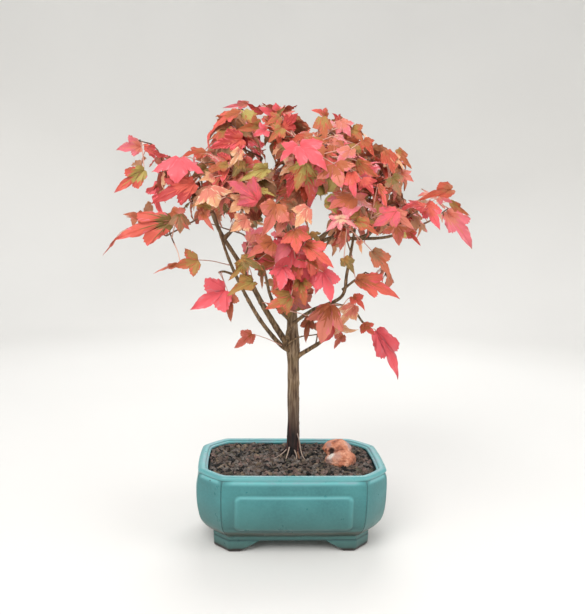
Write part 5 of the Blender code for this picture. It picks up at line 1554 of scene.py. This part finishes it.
def make_rock(finish):
    """The two lobes with weathered relief, cut off below the granules."""
    skin = Skin()
    for number, (place, size) in enumerate(ROCK_LOBES):
        bm = bmesh.new()
        bmesh.ops.create_icosphere(bm, subdivisions=5, radius=1.0)
        points, faces = [], [[vert.index for vert in face.verts] for face in bm.faces]
        for vert in bm.verts:
            way = vert.co.normalized()
            seed = way * 1.7 + Vector((number * 7.0, 3.0, 1.0))
            swell = 1.0 + 0.10 * noise.noise(seed) + 0.06 * noise.noise(seed * 2.6)
            swell += 0.035 * noise.noise(seed * 6.0)
            folds = abs(noise.noise(seed * 3.4 + Vector(ROCK_FOLD_SHIFT)))
            swell += 0.018 * noise.noise(seed * 14.0) - 0.07 * folds
            point = Vector(place) + Vector([way[i] * size[i] * swell for i in range(3)])
            for hollow, radius, depth in ROCK_HOLLOWS:
                away = (point - Vector(hollow)).length / radius
                if away < 1.0:
                    point -= way * depth * (1.0 - away * away) ** 2
            point.z = max(point.z, SOIL_EDGE - 1.0)
            points.append(point)
        bm.free()
        skin.add(points, faces)
    return skin.piece("rock_weathered", [finish], "rock", ("rock",))


def bark_relief(point, way, radius):
    """How far bark stands out: upright ridges, slow swellings and small lumps."""
    upright = Vector((point.x * 0.55, point.y * 0.55, point.z * 0.05))
    slow = noise.noise(point * 0.06) * 0.07 * radius
    ridges = noise.noise(upright) * 0.045 * radius + noise.noise(upright * 2.3) * 0.02 * radius
    lumps = max(0.0, noise.noise(point * 0.21 + Vector((9.0, 0.0, 0.0))) - 0.35) * 0.35 * min(radius, 4.0)
    return slow + ridges + lumps


def make_trunk(limbs, finish, root_finishes):
    """The trunk with bark relief, a lobed flare and surface roots that run into the soil."""
    limb = limbs["trunk"]
    skin = Skin()
    radii = [between(SKIN_RADII, mark) for mark in fractions(limb.fine)]
    foot = limb.fine[0]

    def relief(point, way, radius):
        rise = max(0.0, 1.0 - (point.z - foot.z) / FLARE_HEIGHT)
        turn = math.atan2(way.y, way.x)
        lobes = rise * radius * 0.10 * math.sin(3 * turn + 0.6) + rise * radius * 0.04 * math.sin(7 * turn)
        return bark_relief(point, way, radius) + lobes

    skin.add_tube(limb.fine, radii, TRUNK_SIDES, 0, relief)
    for degrees, reach in ROOTS:
        turn = math.radians(degrees)
        out = Vector((math.cos(turn), math.sin(turn), 0.0))
        low = Vector((0.0, 0.0, ROOT_RADIUS * ROOT_LIFT))
        knots = [foot + out * far + low * high for far, high in (*ROOT_POINTS, (reach, ROOT_END))]
        line = smooth_line(knots, 1.6)
        thickness = [1.7 - 0.9 * mark for mark in fractions(line)]
        skin.add_tube(line, thickness, BURIED_ROOT_SIDES, 0,
                      lambda point, way, radius: noise.noise(point * 0.5) * 0.25)
    trunk = skin.piece("trunk_bark", [finish], "bark", ("trunk",))
    roots = Skin()
    for thick, slot, pixels in SHOWN_ROOTS:
        line = smooth_line([place_of((u, v), depth) for u, v, depth in pixels], 1.2)
        thickness = [thick * (1.0 - 0.4 * mark) for mark in fractions(line)]
        roots.add_tube(line, thickness, SHOWN_ROOT_SIDES, slot,
                       lambda point, way, radius: noise.noise(point * 0.9) * 0.14)
    roots.piece("surface_roots", root_finishes, "bark")
    return trunk


def make_boughs(limbs, finish):
    """All boughs with bark relief, each with a collar where it leaves its limb."""
    skin = Skin()
    names = [row[0] for row in BOUGHS]
    for name, _, start, _, thick, thin in BOUGHS:
        line = limbs[name].fine
        marks = fractions(line)
        length = sum((b - a).length for a, b in zip(line, line[1:]))
        radii = []
        for mark in marks:
            radius = thick + (thin - thick) * mark ** 0.8
            collar = 0.45 * thick * math.exp(-((mark * length) / (thick * 2.6)) ** 2) if start < 1.0 else 0.0
            knot = 0.10 * radius * max(0.0, math.sin(mark * length * 0.24)) ** 6
            radii.append(radius + collar + knot)
        skin.add_tube(line, radii, BOUGH_SIDES, 0, bark_relief)
    for thick, thin, pixels in SHOWN_TWIGS:
        line = smooth_line([place_of((u, v), depth) for u, v, depth in pixels], 1.5)
        radii = [thick + (thin - thick) * mark for mark in fractions(line)]
        skin.add_tube(line, radii, SHOWN_TWIG_SIDES, 0, bark_relief)
    return skin.piece("boughs_bark", [finish], "bark", names)


def choose_kind(leaf, rng):
    """A kind for a leaf that isn't named in the photograph, by how far out it hangs."""
    away = (leaf.tip - Vector(CROWN_HEART))
    out = math.sqrt((away.x / 200) ** 2 + (away.y / 150) ** 2 + (away.z / 140) ** 2)
    outer = rng.random() < 0.15 + 0.85 * min(1.0, max(0.0, (out - 0.45) / 0.4))
    kinds = OUTER_KINDS if outer else INNER_KINDS
    return kinds[int(rng.random() ** 1.25 * len(kinds))]


def twig_relief(point, way, radius):
    """How far the bark of a twig stands out."""
    return noise.noise(point * 0.4) * 0.25 * radius


def make_foliage(limbs, finishes, twig_finish, stalk_finish):
    """Every leaf, twig and stalk of the crown."""
    rng = random.Random(23)
    masses = [Mass(row, limbs) for row in MASSES]
    share_space(masses)
    spots = limb_spots(limbs)
    portraits = portrait_leaves(rng)
    shown = [(np.array([leaf.base, leaf.tip]).mean(axis=0), leaf) for leaf in portraits]
    shown_pixels, shown_far = pixels_of(np.array([centre for centre, _ in shown]))
    reaches = np.array([0.42 * (leaf.tip - leaf.base).length * max(0.5, leaf.width) for _, leaf in shown])
    reaches = reaches * FOCAL_PIXELS / shown_far
    wood, nodes, leaves = [], [], []
    grown = [mass for mass in masses if mass.name != SINGLE_LEAF]
    for mass in grown:
        own_wood, own_leaves, own_nodes = grow_mass(mass, spots)
        wood += [(line, thick, thin, mass) for line, thick, thin in own_wood]
        nodes += own_nodes
        for leaf in own_leaves:
            leaf.mass = mass
            leaf.kind = choose_kind(leaf, rng)
            samples = blade_samples(leaf_points(leaf_frame(leaf.base, leaf.tip - leaf.base, leaf.out),
                                                (leaf.tip - leaf.base).length))
            if not leaves_sky(samples, 0.0):
                continue
            pixel, far = pixels_of(samples)
            near = far[:, None] < shown_far[None, :] + 8.0
            over = np.linalg.norm(pixel[:, None, :] - shown_pixels[None, :, :], axis=2) < reaches[None, :]
            if (near & over).any():
                continue
            leaves.append(leaf)
    limb_nodes = [Vector(point) for point, name in zip(spots[0], spots[2]) if name != "trunk"]
    nodes += limb_nodes[::3]
    extra = []
    for leaf in sorted(portraits, key=lambda one: min((node - one.base).length for node in nodes)):
        twigs = []
        if leaf.joint is None:
            join_to_wood(leaf, nodes, rng, twigs)
        leaf.mass = min(masses, key=lambda one: min((one.foot - leaf.base).length,
                                                    (one.end - leaf.base).length))
        extra += [(line, thick, thin, leaf.mass) for line, thick, thin in twigs]
        leaves.append(leaf)
    wood = used_wood(wood + extra, [leaf.joint for leaf in leaves])
    slot_of = {name: number for number, name in enumerate(TINTS)}
    for group, beginnings in FOLIAGE.items():
        members = [mass.name for mass in masses if mass.name.startswith(beginnings)]
        skin, twigs, stalks = Skin(), Skin(), Skin()
        for leaf in leaves:
            if leaf.mass.name in members:
                skin.add(shaped_leaf(leaf, rng), LEAF_FACES, leaf_slots(leaf, rng, slot_of))
                add_stalk(stalks, leaf, rng)
        for line, thick, thin, mass in wood:
            if mass.name in members:
                fine = smooth_line(line, 5.0)
                radii = [0.8 * (thick + (thin - thick) * mark) for mark in fractions(fine)]
                twigs.add_tube(fine, radii, TWIG_SIDES, 0, twig_relief)
        skin.piece(group, finishes, "leaves", members)
        twigs.piece(group.replace("foliage", "twigs"), [twig_finish], "bark", members)
        stalks.piece(group.replace("foliage", "stalks"), [stalk_finish], "leaves", members)


def add_stalk(stalks, leaf, rng):
    """A thin stalk that arches from its twig to the leaf and a little way under the blade."""
    away = leaf.base - leaf.joint
    chord = (leaf.tip - leaf.base).normalized()
    arch = Vector((rng.uniform(-1, 1), rng.uniform(-1, 1), rng.uniform(0.5, 1.6)))
    arch *= 0.08 * min(away.length, 30.0) * (0.4 if away.length > 30.0 else 1.0)
    end = leaf.base + chord * 2.5 - leaf.out * 0.3
    knots = [leaf.joint, leaf.joint.lerp(leaf.base, 0.55) + arch, leaf.base - leaf.out * 0.2, end]
    line = smooth_line(knots, 5.0)
    radii = [STALK_RADII[0] + (STALK_RADII[1] - STALK_RADII[0]) * mark for mark in fractions(line)]
    radii[0] *= 1.5
    radii[-1] *= 0.4
    stalks.add_tube(line, radii, STALK_SIDES)


def make_stage():
    """A plain pale floor that curves up all round."""
    made, tree, shader = new_material("studio_floor", 0.85)
    where = place_node(tree)
    shade = noise_node(tree, where, 1.2, 2.0)
    pale = ramp_node(tree, shade, ((0.3, (226, 224, 220)), (0.7, (232, 230, 226))))
    tree.links.new(pale, shader.inputs["Base Color"])
    profile = [(0.0, 0.0), (400.0, 0.0), (FLOOR_REACH, 0.0)]
    profile += [(FLOOR_REACH + FLOOR_CURVE * math.sin(t), FLOOR_CURVE - FLOOR_CURVE * math.cos(t))
                for t in np.linspace(0.1, 1.45, 16)]
    profile.append((2260.0, 1500.0))
    sides = 96
    points = [(0.0, 0.0, 0.0)]
    for radius, z in profile[1:]:
        points += [(radius * math.cos(2 * math.pi * k / sides), radius * math.sin(2 * math.pi * k / sides), z)
                   for k in range(sides)]
    faces = [(0, 1 + k, 1 + (k + 1) % sides) for k in range(sides)]
    for i in range(len(profile) - 2):
        for k in range(sides):
            a, b = 1 + i * sides + k, 1 + i * sides + (k + 1) % sides
            faces.append((a, a + sides, b + sides, b))
    mesh = bpy.data.meshes.new("studio_floor")
    mesh.from_pydata([[x * MM for x in point] for point in points], [], faces)
    mesh.materials.append(made)
    mesh.shade_smooth()
    floor = bpy.data.objects.new("studio_floor", mesh)
    bpy.context.scene.collection.objects.link(floor)


def make_lights():
    """Soft studio light: a pale surround, a broad lamp above the front and a fill on the right."""
    world = bpy.data.worlds.new("studio")
    world.use_nodes = True
    back = world.node_tree.nodes["Background"]
    back.inputs["Color"].default_value = WORLD_COLOUR
    back.inputs["Strength"].default_value = WORLD_STRENGTH
    bpy.context.scene.world = world
    for name, place, size, power in LAMPS:
        lamp = bpy.data.lights.new(name, "AREA")
        lamp.shape = "DISK"
        lamp.size = size
        lamp.energy = power
        made = bpy.data.objects.new(name, lamp)
        made.location = place
        aim = Vector(LAMP_AIM) - made.location
        made.rotation_mode = "QUATERNION"
        made.rotation_quaternion = aim.to_track_quat("-Z", "Y")
        bpy.context.scene.collection.objects.link(made)


def make_camera():
    """The camera that took the photograph."""
    camera = bpy.data.cameras.new("camera")
    camera.sensor_width = SENSOR
    camera.lens = FOCAL_PIXELS * SENSOR / IMAGE_LONG_SIDE
    camera.clip_start, camera.clip_end = 0.01, 50.0
    made = bpy.data.objects.new("camera", camera)
    turned = Matrix((AXIS_RIGHT, AXIS_UP, -AXIS_AHEAD)).transposed().to_4x4()
    made.matrix_world = Matrix.Translation((CAMERA_PLACE - Vector((0.0, 0.0, TABLE))) * MM) @ turned
    bpy.context.scene.collection.objects.link(made)
    bpy.context.scene.camera = made


def main():
    """Make every piece."""
    bpy.context.scene.view_settings.view_transform = "Standard"
    make_camera()
    make_lights()
    make_stage()
    make_pot(glaze_material())
    granules = [soil_material(name, colours) for name, _, colours in GRANULES]
    soil = bpy.data.objects["soil"]
    for slot in soil.material_slots:
        slot.material = granules[0]
    make_chips(granules)
    make_rock(rock_material())
    limbs = grow_limbs()
    bark = bark_material("trunk_bark", True)
    make_trunk(limbs, bark, [twig_material(*row) for row in ROOT_SKINS])
    make_boughs(limbs, bark_material("bough_bark", False))
    finishes = [leaf_material(name, colour) for name, colour in TINTS.items()]
    make_foliage(limbs, finishes, twig_material(*TWIG_SKIN), twig_material(*STALK_SKIN))


main()
